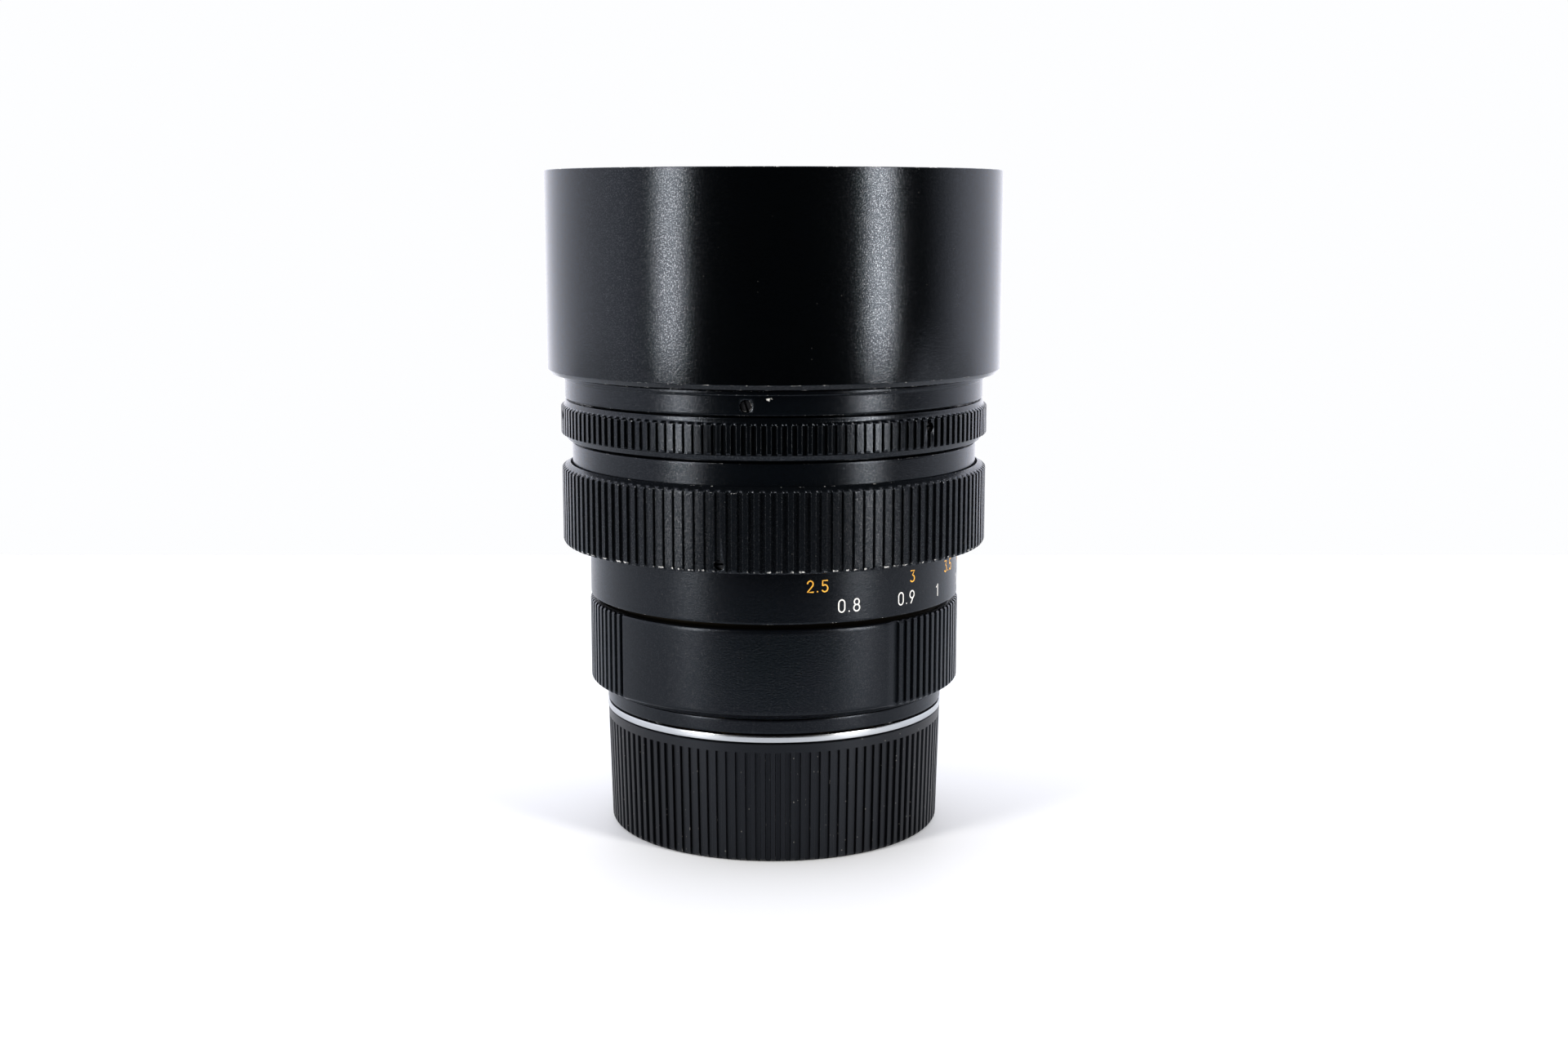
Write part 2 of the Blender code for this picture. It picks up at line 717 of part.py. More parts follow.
def make_click(lens):
    centre = polar(CLICK_SIDE, CLICK_RING_R, BALL_Z) * MM
    shape = bmesh.new()
    bmesh.ops.create_uvsphere(shape, u_segments=10, v_segments=6, radius=BALL_R * MM)
    mesh = bpy.data.meshes.new("click_ball")
    shape.to_mesh(mesh)
    shape.free()
    ball = bpy.data.objects.new("click_ball", mesh)
    ball.location = centre
    lens.piece(ball, "steel")

    curve = bpy.data.curves.new("click_spring", "CURVE")
    curve.dimensions = "3D"
    curve.bevel_depth = SPRING_WIRE_R * MM
    curve.bevel_resolution = 0
    curve.use_fill_caps = True
    spline = curve.splines.new("POLY")
    count = SPRING_TURNS * 8
    spline.points.add(count)
    low = SPRING_Z[0] + SPRING_WIRE_R
    rise = SPRING_Z[1] - SPRING_Z[0] - 2 * SPRING_WIRE_R
    for i, point in enumerate(spline.points):
        angle = 2 * math.pi * i / 8
        x, y = SPRING_COIL_R * math.cos(angle), SPRING_COIL_R * math.sin(angle)
        point.co = (x * MM, y * MM, (low + rise * i / count) * MM, 1.0)
    drawn = bpy.data.objects.new("click_spring_wire", curve)
    bpy.context.scene.collection.objects.link(drawn)
    bpy.context.view_layer.update()
    graph = bpy.context.evaluated_depsgraph_get()
    mesh = bpy.data.meshes.new_from_object(drawn.evaluated_get(graph))
    bpy.data.objects.remove(drawn)
    weld(mesh)
    spring = bpy.data.objects.new("click_spring", mesh)
    spring.location = polar(CLICK_SIDE, CLICK_RING_R) * MM
    lens.piece(spring, "steel")


# ---------------------------------------------------------------- iris


def lever_pin(turn):
    """Where a blade's drive pin is, from the pivot of a blade on the side facing +X."""
    angle = math.radians(LEVER_REST + turn)
    return LEVER * math.cos(angle), LEVER * math.sin(angle)


def blade_outline():
    """A blade seen from the front at rest, with its pivot at the origin."""
    loop = []
    steps = 10
    for i in range(steps + 1):
        angle = math.radians(BLADE_SPAN * i / steps)
        loop.append((BLADE_R[0] * math.cos(angle), BLADE_R[0] * math.sin(angle)))
    for i in range(steps):
        angle = math.radians(BLADE_SPAN + (6.0 - BLADE_SPAN) * i / (steps - 1))
        loop.append((BLADE_R[1] * math.cos(angle), BLADE_R[1] * math.sin(angle)))
    loop = [(x - PIVOT_RING_R, y) for x, y in loop]
    for side in (60.0, 0.0, -30.0):
        angle = math.radians(side)
        loop.append((EAR_R * math.cos(angle), EAR_R * math.sin(angle)))
    x, y = lever_pin(0.0)
    for side in (-20.0, -70.0, -120.0, -170.0):
        angle = math.radians(side)
        loop.append((x + EAR_R * math.cos(angle), y + EAR_R * math.sin(angle)))
    loop.append((-EAR_R - 0.4, -1.2))
    return loop


def make_blades(lens):
    """Ten blades, each a step higher than the last, so that they pass over one another."""
    for k in range(BLADES):
        name = f"iris_blade_{k + 1:02d}"
        bottom = BLADE_BOTTOM + BLADE_PITCH * k
        top = bottom + BLADE_THICKNESS
        blade = outline(name, [blade_outline()], bottom, top)
        up = Vector((0, 0, 1))
        low = BASE_PLATE_Z[0] + 0.1
        pivot = rods(name + "_pivot", [(Vector((0, 0, (low + top) / 2)), up)], PIN_R, top - low - 0.04)
        high = CAM_PLATE_Z[1] - 0.1
        x, y = lever_pin(0.0)
        foot = bottom + 0.04
        drive = rods(name + "_drive", [(Vector((x, y, (foot + high) / 2)), up)], PIN_R, high - foot)
        angle = 2 * math.pi * k / BLADES
        place = (PIVOT_RING_R * MM * math.cos(angle), PIVOT_RING_R * MM * math.sin(angle), 0.0)
        for obj in (blade, pivot, drive):
            obj.location = place
            obj.rotation_euler = (0.0, 0.0, angle)
        lens.join(blade, pivot)
        lens.join(blade, drive)
        lens.piece(blade, "blued_steel")


def cam_slot(k):
    """The outline of a slot: the path of a drive pin on the turning plate, with width."""
    path = []
    for i in range(SLOT_STEPS + 1):
        turn = BLADE_TURN * i / SLOT_STEPS
        x, y = lever_pin(turn)
        x += PIVOT_RING_R
        radius = math.hypot(x, y)
        ring_turn = AP_TRAVEL * i / SLOT_STEPS
        side = math.degrees(math.atan2(y, x)) - ring_turn + 360.0 * k / BLADES
        path.append((radius, side))
    reach = math.degrees(PIN_HOLE_R / PIVOT_RING_R)
    ends = [(path[0][0], path[0][1] + reach), (path[-1][0], path[-1][1] - reach)]
    path = [ends[0], *path, ends[1]]
    outer = [(radius + SLOT_HALF, side) for radius, side in path]
    inner = [(radius - SLOT_HALF, side) for radius, side in reversed(path)]
    loop = []
    for radius, side in outer + inner:
        angle = math.radians(side)
        loop.append((radius * math.cos(angle), radius * math.sin(angle)))
    return loop


def make_iris_plates(lens):
    base = tube("iris_base_plate", IRIS_PLATE_R, BASE_PLATE_Z, INNER)
    places = []
    middle = sum(BASE_PLATE_Z) / 2
    for k in range(BLADES):
        angle = 2 * math.pi * k / BLADES
        x, y = PIVOT_RING_R * math.cos(angle), PIVOT_RING_R * math.sin(angle)
        places.append((Vector((x, y, middle)), Vector((0, 0, 1))))
    lens.cut(base, rods("pivot_holes", places, PIN_HOLE_R, 2.0, steps=8))
    lens.piece(base, "black_anodised")

    plate = tube("iris_cam_plate", IRIS_PLATE_R, CAM_PLATE_Z, OUTER)
    heights = (CAM_PLATE_Z[0] - 1.0, CAM_PLATE_Z[1] + 1.0)
    slots = outline("cam_slots", [cam_slot(k) for k in range(BLADES)], *heights)
    lens.cut(plate, slots)
    notch = (DRIVE_NOTCH_R, IRIS_PLATE_R[1] + 1.0)
    width = DRIVE_KEY_WIDTH + 2 * GAP
    lens.cut(plate, radial_boxes("plate_key_notch", [DRIVE_SIDE], notch, width, heights))
    lens.piece(plate, "brass")


# ---------------------------------------------------------------- optics


def surface(height, edge_height, edge_radius):
    """Points of a spherical surface from the axis to its edge, as (radius, height)."""
    sag = height - edge_height
    if abs(sag) < 1e-6:
        return [(0.0, height), (edge_radius, edge_height)]
    ball = (edge_radius**2 + sag**2) / (2 * abs(sag))
    points = []
    for i in range(GLASS_STEPS + 1):
        radius = edge_radius * i / GLASS_STEPS
        drop = ball - math.sqrt(ball**2 - radius**2)
        points.append((radius, height - math.copysign(drop, sag)))
    return points


def make_glass(lens):
    for name, sizes in ELEMENTS.items():
        rim, top, bottom, front, rear, front_edge, rear_edge = sizes
        profile = surface(front, top, front_edge)
        if front_edge < rim:
            profile.append((rim, top))
        if rear_edge < rim:
            profile.append((rim, bottom))
        profile += reversed(surface(rear, bottom, rear_edge))
        lens.piece(turned(name, profile, GLASS, closed=False), "glass")


def make_cells(lens):
    bottom, top = FRONT_CELL_Z
    cell = turned(
        "front_cell",
        [
            (FRONT_GLASS_BORE, top),
            (FRONT_CELL_R, top),
            (FRONT_CELL_R, bottom),
            (FRONT_LIP_BORE, bottom),
            (FRONT_LIP_BORE, DOUBLET_SEAT),
            (DOUBLET_BORE, DOUBLET_SEAT),
            (DOUBLET_BORE, FRONT_GLASS_SEAT),
            (FRONT_GLASS_BORE, FRONT_GLASS_SEAT),
        ],
        INNER,
    )
    lens.piece(cell, "black_anodised")
    foot, top = NAME_RING_Z
    inner, outer = NAME_RING_R
    land = FRONT_CELL_Z[1] + GAP
    foot_r = FRONT_GLASS_BORE - GAP
    name_ring = turned(
        "front_name_ring",
        [(inner + 0.6, top), (outer, top), (outer, land), (foot_r, land), (foot_r, foot), (inner, foot)],
        INNER,
    )
    lens.piece(name_ring, "black_anodised")
    doublet_ring = tube("front_doublet_retainer", DOUBLET_RING_R, DOUBLET_RING_Z, INNER)
    lens.piece(doublet_ring, "black_anodised")

    bottom, top = REAR_CELL_Z
    rear_cell = turned(
        "rear_cell",
        [
            (REAR_LIP_R, top),
            (REAR_CELL_R[1], top),
            (REAR_CELL_R[1], bottom),
            (REAR_CELL_R[0], bottom),
            (REAR_CELL_R[0], REAR_LIP_Z),
            (REAR_LIP_R, REAR_LIP_Z),
        ],
        INNER,
    )
    lens.piece(rear_cell, "aluminium")
    rings = {
        "rear_spacer_wide": (SPACER_R, SPACER_WIDE_Z, "aluminium"),
        "rear_spacer_narrow": (SPACER_R, SPACER_NARROW_Z, "aluminium"),
        "rear_retaining_ring": (REAR_RING_R, REAR_RING_Z, "black_anodised"),
        "rear_baffle": (BAFFLE_R, BAFFLE_Z, "black_anodised"),
    }
    for name, (radii, heights, finish) in rings.items():
        lens.piece(tube(name, radii, heights, INNER), finish)


# ---------------------------------------------------------------- build


def shade(lens):
    for obj in lens.parts.objects:
        if obj.data.polygons:
            obj.data.shade_smooth()
            obj.data.set_sharp_from_angle(angle=math.radians(35.0))


def main():
    clear_scene()
    lens = Lens()
    make_rear_cap(lens)
    make_fixed_barrel(lens, make_flange(lens))
    make_focus(lens)
    make_head(lens)
    make_front_barrel(lens)
    make_hood(lens)
    make_aperture_ring(lens)
    make_click(lens)
    make_iris_plates(lens)
    make_blades(lens)
    make_cells(lens)
    make_glass(lens)
    shade(lens)


main()
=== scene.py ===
"""A 75 mm prime camera lens that stands on its rear cap with its front up.

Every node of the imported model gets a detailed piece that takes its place. Sizes are in
millimetres, and MM turns them into metres. A side is an angle that runs anticlockwise
seen from the front, and side 0 faces -Y, where the camera is.
"""

import math
from math import cos, pi, radians, sin

import bmesh
import bpy
from mathutils import Matrix, Vector


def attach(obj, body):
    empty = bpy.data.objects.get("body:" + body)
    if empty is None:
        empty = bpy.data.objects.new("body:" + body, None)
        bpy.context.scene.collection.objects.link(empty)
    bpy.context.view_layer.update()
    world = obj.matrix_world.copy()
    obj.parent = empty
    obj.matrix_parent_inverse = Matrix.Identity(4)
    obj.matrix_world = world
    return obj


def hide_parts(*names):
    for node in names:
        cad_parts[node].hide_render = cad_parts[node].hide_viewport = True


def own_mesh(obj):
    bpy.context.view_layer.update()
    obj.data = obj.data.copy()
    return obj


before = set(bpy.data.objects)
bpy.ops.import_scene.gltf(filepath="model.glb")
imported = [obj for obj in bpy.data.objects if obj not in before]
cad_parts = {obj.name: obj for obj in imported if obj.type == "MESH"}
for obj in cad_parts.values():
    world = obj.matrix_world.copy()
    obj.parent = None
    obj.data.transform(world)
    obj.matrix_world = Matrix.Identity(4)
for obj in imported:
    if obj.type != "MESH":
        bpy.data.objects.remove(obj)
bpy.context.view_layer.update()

MM = 0.001

# Columns around a plain ring, and around a small one
ROUND = 240
SMALL_ROUND = 32

# Side of the mounting index, where every scale is read
INDEX_SIDE = 173.4
SCALE_BAND_R = 28.4

# Place of the click ball
CLICK_SIDE = 100.0
CLICK_R = 29.9

# Material slot of most metal pieces
BLACK = "black_anodised"

# How far an edge's worn anodising reaches from the edge
WEAR_REACH = 0.22


# ---- places and meshes


def polar(side, radius, z=0.0):
    """The point at a side, a radius and a height, in metres."""
    angle = radians(side)
    return Vector((radius * sin(angle), -radius * cos(angle), z)) * MM


def around(first, count):
    return [first + 360.0 * k / count for k in range(count)]


def linked(name, data):
    """A new object in the scene."""
    obj = bpy.data.objects.new(name, data)
    bpy.context.scene.collection.objects.link(obj)
    return obj


def mesh_object(name, shape):
    """An object with the mesh of a bmesh, which it frees."""
    mesh = bpy.data.meshes.new(name)
    shape.to_mesh(mesh)
    shape.free()
    return linked(name, mesh)


def finish_mesh(mesh, sharp, cut=False):
    """Merges doubled points and shades smooth, with sharp edges where the mesh turns."""
    merge = 2e-7 if cut else 1e-7
    shape = bmesh.new()
    shape.from_mesh(mesh)
    bmesh.ops.remove_doubles(shape, verts=shape.verts, dist=merge)
    if cut:
        bmesh.ops.dissolve_degenerate(shape, edges=shape.edges, dist=merge)
    else:
        bmesh.ops.recalc_face_normals(shape, faces=shape.faces)
    shape.to_mesh(mesh)
    shape.free()
    shade(mesh, sharp)


def shade(mesh, sharp):
    for face in mesh.polygons:
        face.use_smooth = True
    mesh.set_sharp_from_angle(angle=radians(sharp))


def new_object(name, vertices, faces, wear=None, sharp=35.0):
    """An object from its points, its faces and how worn each point is."""
    mesh = bpy.data.meshes.new(name)
    mesh.from_pydata(vertices, [], faces)
    layer = mesh.attributes.new("wear", "FLOAT", "POINT")
    layer.data.foreach_set("value", wear or [0.0] * len(vertices))
    finish_mesh(mesh, sharp)
    return linked(name, mesh)


def combine(obj, others, operation):
    """Applies a piece's modifiers and these shapes to its mesh, and removes the shapes."""
    for other in others:
        modifier = obj.modifiers.new("combine", "BOOLEAN")
        modifier.operation, modifier.solver, modifier.object = operation, "EXACT", other
    bpy.context.view_layer.update()
    graph = bpy.context.evaluated_depsgraph_get()
    obj.data = bpy.data.meshes.new_from_object(obj.evaluated_get(graph))
    obj.modifiers.clear()
    for other in others:
        bpy.data.objects.remove(other)
    return obj.data


def cut_away(obj, cutters, sharp=35.0):
    """Cuts shapes out of a piece."""
    finish_mesh(combine(obj, cutters, "DIFFERENCE"), sharp, cut=True)


def join_to(obj, extras, sharp=35.0):
    """Joins shapes that overlap a piece to it as one skin."""
    shade(combine(obj, extras, "UNION"), sharp)


def box_at(matrix, size):
    """A plain box, sized in millimetres along the axes of a matrix."""
    shape = bmesh.new()
    scale = Matrix.Diagonal((*(s * MM for s in size), 1.0))
    bmesh.ops.create_cube(shape, size=1.0, matrix=matrix @ scale)
    return mesh_object("box", shape)


def place(obj, look, body, slot, *nodes):
    """Gives a piece its look, the body that carries it and the nodes it stands for."""
    obj.data.materials.clear()
    obj.data.materials.append(LOOKS[look])
    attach(obj, body)
    if nodes:
        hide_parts(*nodes)


# ---- turned shapes


def band(inner, outer, high, low):
    """The profile of a plain ring, as (radius, height)."""
    return [(inner, high), (outer, high), (outer, low), (inner, low)]


def cylinder(radius, high, low):
    """The profile of a solid cylinder, which starts and ends on its axis."""
    return [(0.0, high), (radius, high), (radius, low), (0.0, low)]


def with_wear(points):
    """Points of (radius, height, wear), where one that leaves out its wear has none."""
    return [(*point, 0.0)[:3] for point in points]


def soften(profile, radius=0.1, closed=True):
    """Rounds the corners of a profile of (radius, height), as (radius, height, wear).

    The profile runs down its outer side. Outward corners are the worn ones.
    """
    if radius == 0.0:
        return with_wear(profile)
    count, sharpest = len(profile), radians(12.0)
    points = []
    for i, here in enumerate(profile):
        corner = Vector(here)
        ways = [Vector(profile[j]) - corner for j in (i - 1, (i + 1) % count)]
        back, ahead = ways
        at_end = not closed and i in (0, count - 1)
        if at_end or pi - back.angle(ahead) < sharpest:
            points.append((*here, 0.0))
            continue
        worn = float(back.x * ahead.y - back.y * ahead.x > 0.0)
        reach = min(radius, 0.35 * back.length, 0.35 * ahead.length)
        ends = [corner + way.normalized() * reach for way in ways]
        fades = []
        for way in ways:
            far = min(reach + WEAR_REACH, 0.45 * way.length)
            fades.append([(*(corner + way.normalized() * far), 0.0)] if far > reach * 1.3 else [])
        middle = (ends[0] + ends[1]) / 4 + corner / 2
        points += fades[0] + [(*ends[0], 0.6 * worn), (*middle, worn), (*ends[1], 0.6 * worn)]
        points += fades[1]
    return points


def grid(rows, size, wrap=False, closed=True):
    """Faces between neighbouring rows of points, which follow each other."""
    faces = []
    for i in range(rows if wrap else rows - 1):
        a, b = i * size, (i + 1) % rows * size
        for j in range(size if closed else size - 1):
            k = (j + 1) % size
            faces.append([a + j, a + k, b + k, b + j])
    return faces


def loft(name, sides, sections, closed=True, sharp=35.0):
    """A ring with one section of (radius, height, wear) at each of its sides.

    A section that isn't closed starts and ends on the axis.
    """
    size = len(sections[0])
    vertices, wear = [], []
    for side, section in zip(sides, sections):
        for radius, z, worn in with_wear(section):
            vertices.append(polar(side, radius, z))
            wear.append(worn)
    faces = grid(len(sides), size, True, closed)
    return new_object(name, vertices, faces, wear, sharp)


def turned(name, profile, columns=ROUND, closed=True, rounding=0.1, worn=1.0):
    """A plain ring, or a solid disc if its profile starts and ends on the axis."""
    section = [(r, z, worn * edge) for r, z, edge in soften(profile, rounding, closed)]
    return loft(name, around(0.0, columns), [section] * columns, closed)


def threaded(name, columns, section_at):
    """A ring whose section depends on the side, such as one with a helical thread."""
    sides = around(0.0, columns)
    return loft(name, sides, [section_at(side) for side in sides])


def thread(start, end, radius, depth, pitch, side):
    """Points of a helical thread between two heights, cut to a depth from a radius."""
    steps_per_turn, flank = 8, 1.15
    steps = round(abs(end - start) / pitch * steps_per_turn)
    points = []
    for i in range(steps + 1):
        z = start + (end - start) * i / steps
        phase = (z / pitch - side / 360.0) % 1.0
        crest = max(0.0, 1.0 - abs(phase - 0.5) * 2.0 * flank)
        fade = min(1.0, i / 3, (steps - i) / 3)
        points.append((radius + depth * crest * fade, z))
    return points


# Share of a rib's pitch that is the floor of its groove
GROOVE_SHARE = 0.42


def grooved(profile, groove):
    """Rows of (radius, height, wear), each with the radius of its grooves."""
    return [(radius, min(radius, groove), z, wear) for radius, z, wear in with_wear(profile)]


def ribs(count, first, flank=0.22, plain=()):
    """Columns of a fluted ring, each with a side, a depth from 0 to 1 and a wear.

    Plain spans, as (first side, last side), have no grooves.
    """
    pitch, ease = 360.0 / count, 0.045
    floor = GROOVE_SHARE * pitch / 2
    edge = floor + flank
    far = pitch - edge
    inset = min(0.06, (pitch - 2 * edge) / 2 - 0.02)
    steps = [(-floor, 1.0, 0.0), (floor, 1.0, 0.0), (edge - ease, 0.09, 0.8), (edge, 0.0, 1.0)]
    steps += [(edge + inset, 0.0, 0.0), (far - inset, 0.0, 0.0)]
    steps += [(far, 0.0, 1.0), (far + ease, 0.09, 0.8)]
    columns = []
    for k in range(count):
        middle = first + k * pitch
        if any(low <= (middle - low) % 360.0 + low <= high for low, high in plain):
            columns += [(middle - pitch / 2, 0.0, 0.0), (middle, 0.0, 0.0)]
        else:
            columns += [(middle + x, depth, wear) for x, depth, wear in steps]
    return columns


def fluted(name, columns, outer, inner, sharp=70.0, across=0.3, least=0.3, cup=(), closed=True):
    """A fluted ring. Outer points run down, as (radius, groove radius, height, wear).

    Across is the share of an edge's wear that the middle of a rib gets, and least is
    what a rib's edge gets at any height. The cup is the points before the outer ones.
    """
    sections = []
    for _, depth, worn in columns:
        section = list(cup)
        for radius, floor, z, edge in outer:
            weight = edge * 0.5
            if radius > floor:
                weight = max(edge * (across + (1.0 - across) * worn), least * worn)
            section.append((radius + (floor - radius) * depth, z, weight * (1.0 - depth)))
        sections.append(section + inner)
    return loft(name, [side for side, _, _ in columns], sections, closed, sharp)


# ---- materials


# Bare aluminium where anodising has worn off
BARE_METAL = (0.60, 0.60, 0.58)


class Nodes:
    """Short ways to build a node tree."""

    def __init__(self, tree):
        self.tree = tree

    def new(self, kind, sockets, **settings):
        """A node with its settings, and what goes into each of its input sockets."""
        node = self.tree.nodes.new("ShaderNode" + kind)
        for key, value in settings.items():
            setattr(node, key, value)
        for key, value in sockets.items():
            self.link(value, node.inputs[key])
        return node

    def link(self, source, target):
        if hasattr(source, "is_output"):
            self.tree.links.new(source, target)
        else:
            target.default_value = source

    def math(self, operation, a, b):
        return self.new("Math", {0: a, 1: b}, operation=operation).outputs[0]

    def plus(self, a, b):
        return self.math("ADD", a, b)

    def times(self, a, b):
        return self.math("MULTIPLY", a, b)

    def ramp(self, source, low, high):
        """A value from 0 to 1 as one from low to high."""
        sockets = {"Value": source, "To Min": low, "To Max": high}
        return self.new("MapRange", sockets).outputs["Result"]

    def between(self, source, start, end, low=0.0, high=1.0):
        """Low before the start and high past the end, with a smooth step between."""
        sockets = {"Value": source, "From Min": start, "From Max": end}
        sockets.update({"To Min": low, "To Max": high})
        node = self.new("MapRange", sockets, interpolation_type="SMOOTHSTEP")
        return node.outputs["Result"]


class Surface(Nodes):
    """A material and the nodes around its Principled shader."""

    def __init__(self, name):
        self.material = bpy.data.materials.new(name)
        self.material.use_nodes = True
        super().__init__(self.material.node_tree)
        self.shader = self.tree.nodes["Principled BSDF"]
        self.place = self.new("TexCoord", {}).outputs["Object"]

    def set(self, **values):
        """Sets sockets of the shader itself: a constant goes on its own socket."""
        for key, value in values.items():
            self.link(value, self.shader.inputs[key.replace("_", " ")])

    def wear(self):
        return self.new("Attribute", {}, attribute_name="wear").outputs["Fac"]

    def noise(self, scale, detail=2.0, stretch=None, roughness=0.5):
        """Noise with features of about 1 / scale metres, stretched along the axes."""
        place = self.place
        if stretch:
            mapping = {"Vector": place, "Scale": stretch}
            place = self.new("Mapping", mapping).outputs["Vector"]
        sockets = {"Vector": place, "Scale": scale, "Detail": detail, "Roughness": roughness}
        return self.new("TexNoise", sockets).outputs["Fac"]

    def specks(self, scale, size, share):
        """Sparse round specks: a share of cells holds one of the given relative size."""
        cells = self.new("TexVoronoi", {"Vector": self.place, "Scale": scale})
        chosen = self.new("SeparateColor", {0: cells.outputs["Color"]})
        near = self.math("LESS_THAN", cells.outputs["Distance"], size)
        few = self.math("LESS_THAN", chosen.outputs[0], share)
        return self.times(near, few)

    def mix(self, factor, a, b):
        a, b = (c if hasattr(c, "is_output") else (*c, 1.0) for c in (a, b))
        sockets = {"Factor": factor, "A": a, "B": b}
        return self.new("Mix", sockets, data_type="RGBA").outputs["Result"]

    def bump(self, height, strength, distance):
        """Adds to the shader's bump: a height of 0 to 1 over a distance in metres."""
        sockets = {"Height": height, "Strength": strength, "Distance": distance}
        node = self.new("Bump", sockets)
        normal = self.shader.inputs["Normal"]
        if normal.is_linked:
            self.link(normal.links[0].from_socket, node.inputs["Normal"])
        self.link(node.outputs["Normal"], normal)


def shades(colour, dark, light):
    """A colour made darker and lighter."""
    return tuple(c * dark for c in colour), tuple(min(1.0, c * light) for c in colour)


def anodised(
    name, colour, roughness, wear=1.0, grain=1.0, lathe=0.0, gloss=0.19, sparkle=0.28, nicks=()
):
    """Black anodised aluminium: a sparkling grain, dust, and bare metal on worn edges.

    A nick is a chip of bare metal, as (side, radius, height, width) in millimetres.
    """
    n = Surface(name)
    fine = n.noise(8500.0, 1.0)
    coarse = n.noise(3400.0, 2.0, roughness=0.6)
    broad = n.noise(90.0, 3.0)
    dark = tuple(c * 0.72 for c in colour)
    light = tuple(min(1.0, c * 1.35 + 0.0002) for c in colour)
    body = n.mix(n.ramp(n.plus(fine, n.times(broad, 0.6)), -0.3, 1.0), dark, light)
    dust = n.specks(1500.0, 0.12, 0.03)
    body = n.mix(n.times(dust, 0.4), body, (0.07, 0.068, 0.06))
    grit = n.math("GREATER_THAN", n.noise(9000.0, 1.0), 0.61)
    body = n.mix(grit, body, tuple(sparkle * gloss * c for c in (0.88, 0.93, 1.0)))
    patches = n.between(n.noise(520.0, 3.0, roughness=0.65), 0.44, 0.62)
    flecks = n.noise(8500.0, 2.0, roughness=0.7)
    worn = n.times(n.wear(), n.plus(patches, 0.25))
    bare = n.between(n.plus(n.times(worn, 0.27 * wear), flecks), 0.86, 0.93)
    ragged = n.times(n.math("SUBTRACT", coarse, 0.5), 0.0009)
    for side, radius, z, width in nicks:
        ends = {0: n.place, 1: polar(side, radius, z)}
        near = n.new("VectorMath", ends, operation="DISTANCE")
        reach = n.plus(near.outputs["Value"], ragged)
        bare = n.math("MAXIMUM", bare, n.math("LESS_THAN", reach, width * MM / 2))
    n.set(Base_Color=n.mix(bare, body, BARE_METAL))
    n.set(Metallic=n.times(grit, n.math("SUBTRACT", 1.0, bare)))
    rough = n.ramp(coarse, roughness - 0.05, roughness + 0.06)
    n.set(Roughness=n.plus(rough, n.times(bare, 0.25)))
    n.set(IOR=1.5, Specular_IOR_Level=gloss, Specular_Tint=(0.72, 0.84, 1.0, 1.0))
    n.bump(n.plus(fine, coarse), 0.6 * grain, 0.00002)
    if lathe:
        n.bump(n.noise(1.0, 2.0, stretch=(30.0, 30.0, 9000.0)), lathe, 0.00001)
    return n.material


def moulded_plastic(name, colour, roughness):
    """Black moulded plastic with a fine sparkle of dust and scuffed edges."""
    n = Surface(name)
    fine = n.noise(5200.0, 3.0, roughness=0.6)
    broad = n.noise(140.0, 3.0)
    dark, light = shades(colour, 0.75, 1.35)
    body = n.mix(n.ramp(n.plus(fine, broad), -0.4, 0.8), dark, light)
    dust = n.specks(1700.0, 0.17, 0.10)
    body = n.mix(n.times(dust, 0.55), body, (0.16, 0.155, 0.14))
    flecks = n.noise(3600.0, 3.0, roughness=0.7)
    scuffed = n.plus(n.times(n.wear(), 0.36), flecks)
    n.set(Base_Color=n.mix(n.between(scuffed, 0.82, 0.92), body, (0.30, 0.29, 0.27)))
    n.set(Roughness=n.ramp(fine, roughness - 0.06, roughness + 0.10))
    n.set(Specular_IOR_Level=0.22, Specular_Tint=(0.78, 0.86, 1.0, 1.0))
    n.bump(fine, 0.25, 0.00002)
    return n.material


def turned_metal(name, colour, roughness, spots=0.0):
    """Bare or plated metal with the fine lines that a lathe leaves."""
    n = Surface(name)
    ring = n.noise(1.0, 3.0, stretch=(60.0, 60.0, 7000.0))
    broad = n.noise(120.0, 3.0)
    dark, light = shades(colour, 0.84, 1.08)
    body = n.mix(n.ramp(n.plus(ring, broad), -0.5, 0.9), dark, light)
    if spots:
        body = n.mix(n.times(n.specks(900.0, 0.2, 0.06), spots), body, (0.1, 0.1, 0.1))
    n.set(Base_Color=body)
    n.set(Metallic=1.0)
    n.set(Roughness=n.ramp(ring, roughness - 0.05, roughness + 0.08))
    n.bump(ring, 0.35, 0.000008)
    return n.material


def felt_cloth(name):
    n = Surface(name)
    fibres = n.noise(2600.0, 4.0, stretch=(1.0, 1.0, 2.2), roughness=0.75)
    n.set(Base_Color=n.mix(fibres, (0.003, 0.003, 0.003), (0.02, 0.02, 0.02)))
    n.set(Roughness=0.98, Sheen_Weight=0.35, Sheen_Roughness=0.6)
    n.bump(fibres, 0.9, 0.00012)
    return n.material


def optical_glass(name, film, smear):
    """Clear glass under a thin coating, whose thickness in nanometres gives its tint."""
    n = Surface(name)
    smears = n.noise(55.0, 4.0)
    n.set(Roughness=n.ramp(n.between(smears, 0.6, 0.85), 0.0, smear))
    n.set(IOR=1.6, Specular_IOR_Level=0.12, Thin_Film_Thickness=film, Thin_Film_IOR=1.27)
    n.set(Transmission_Weight=1.0)
    n.set(Base_Color=n.mix(smears, (0.975, 0.985, 0.98), (0.99, 0.995, 0.99)))
    return n.material


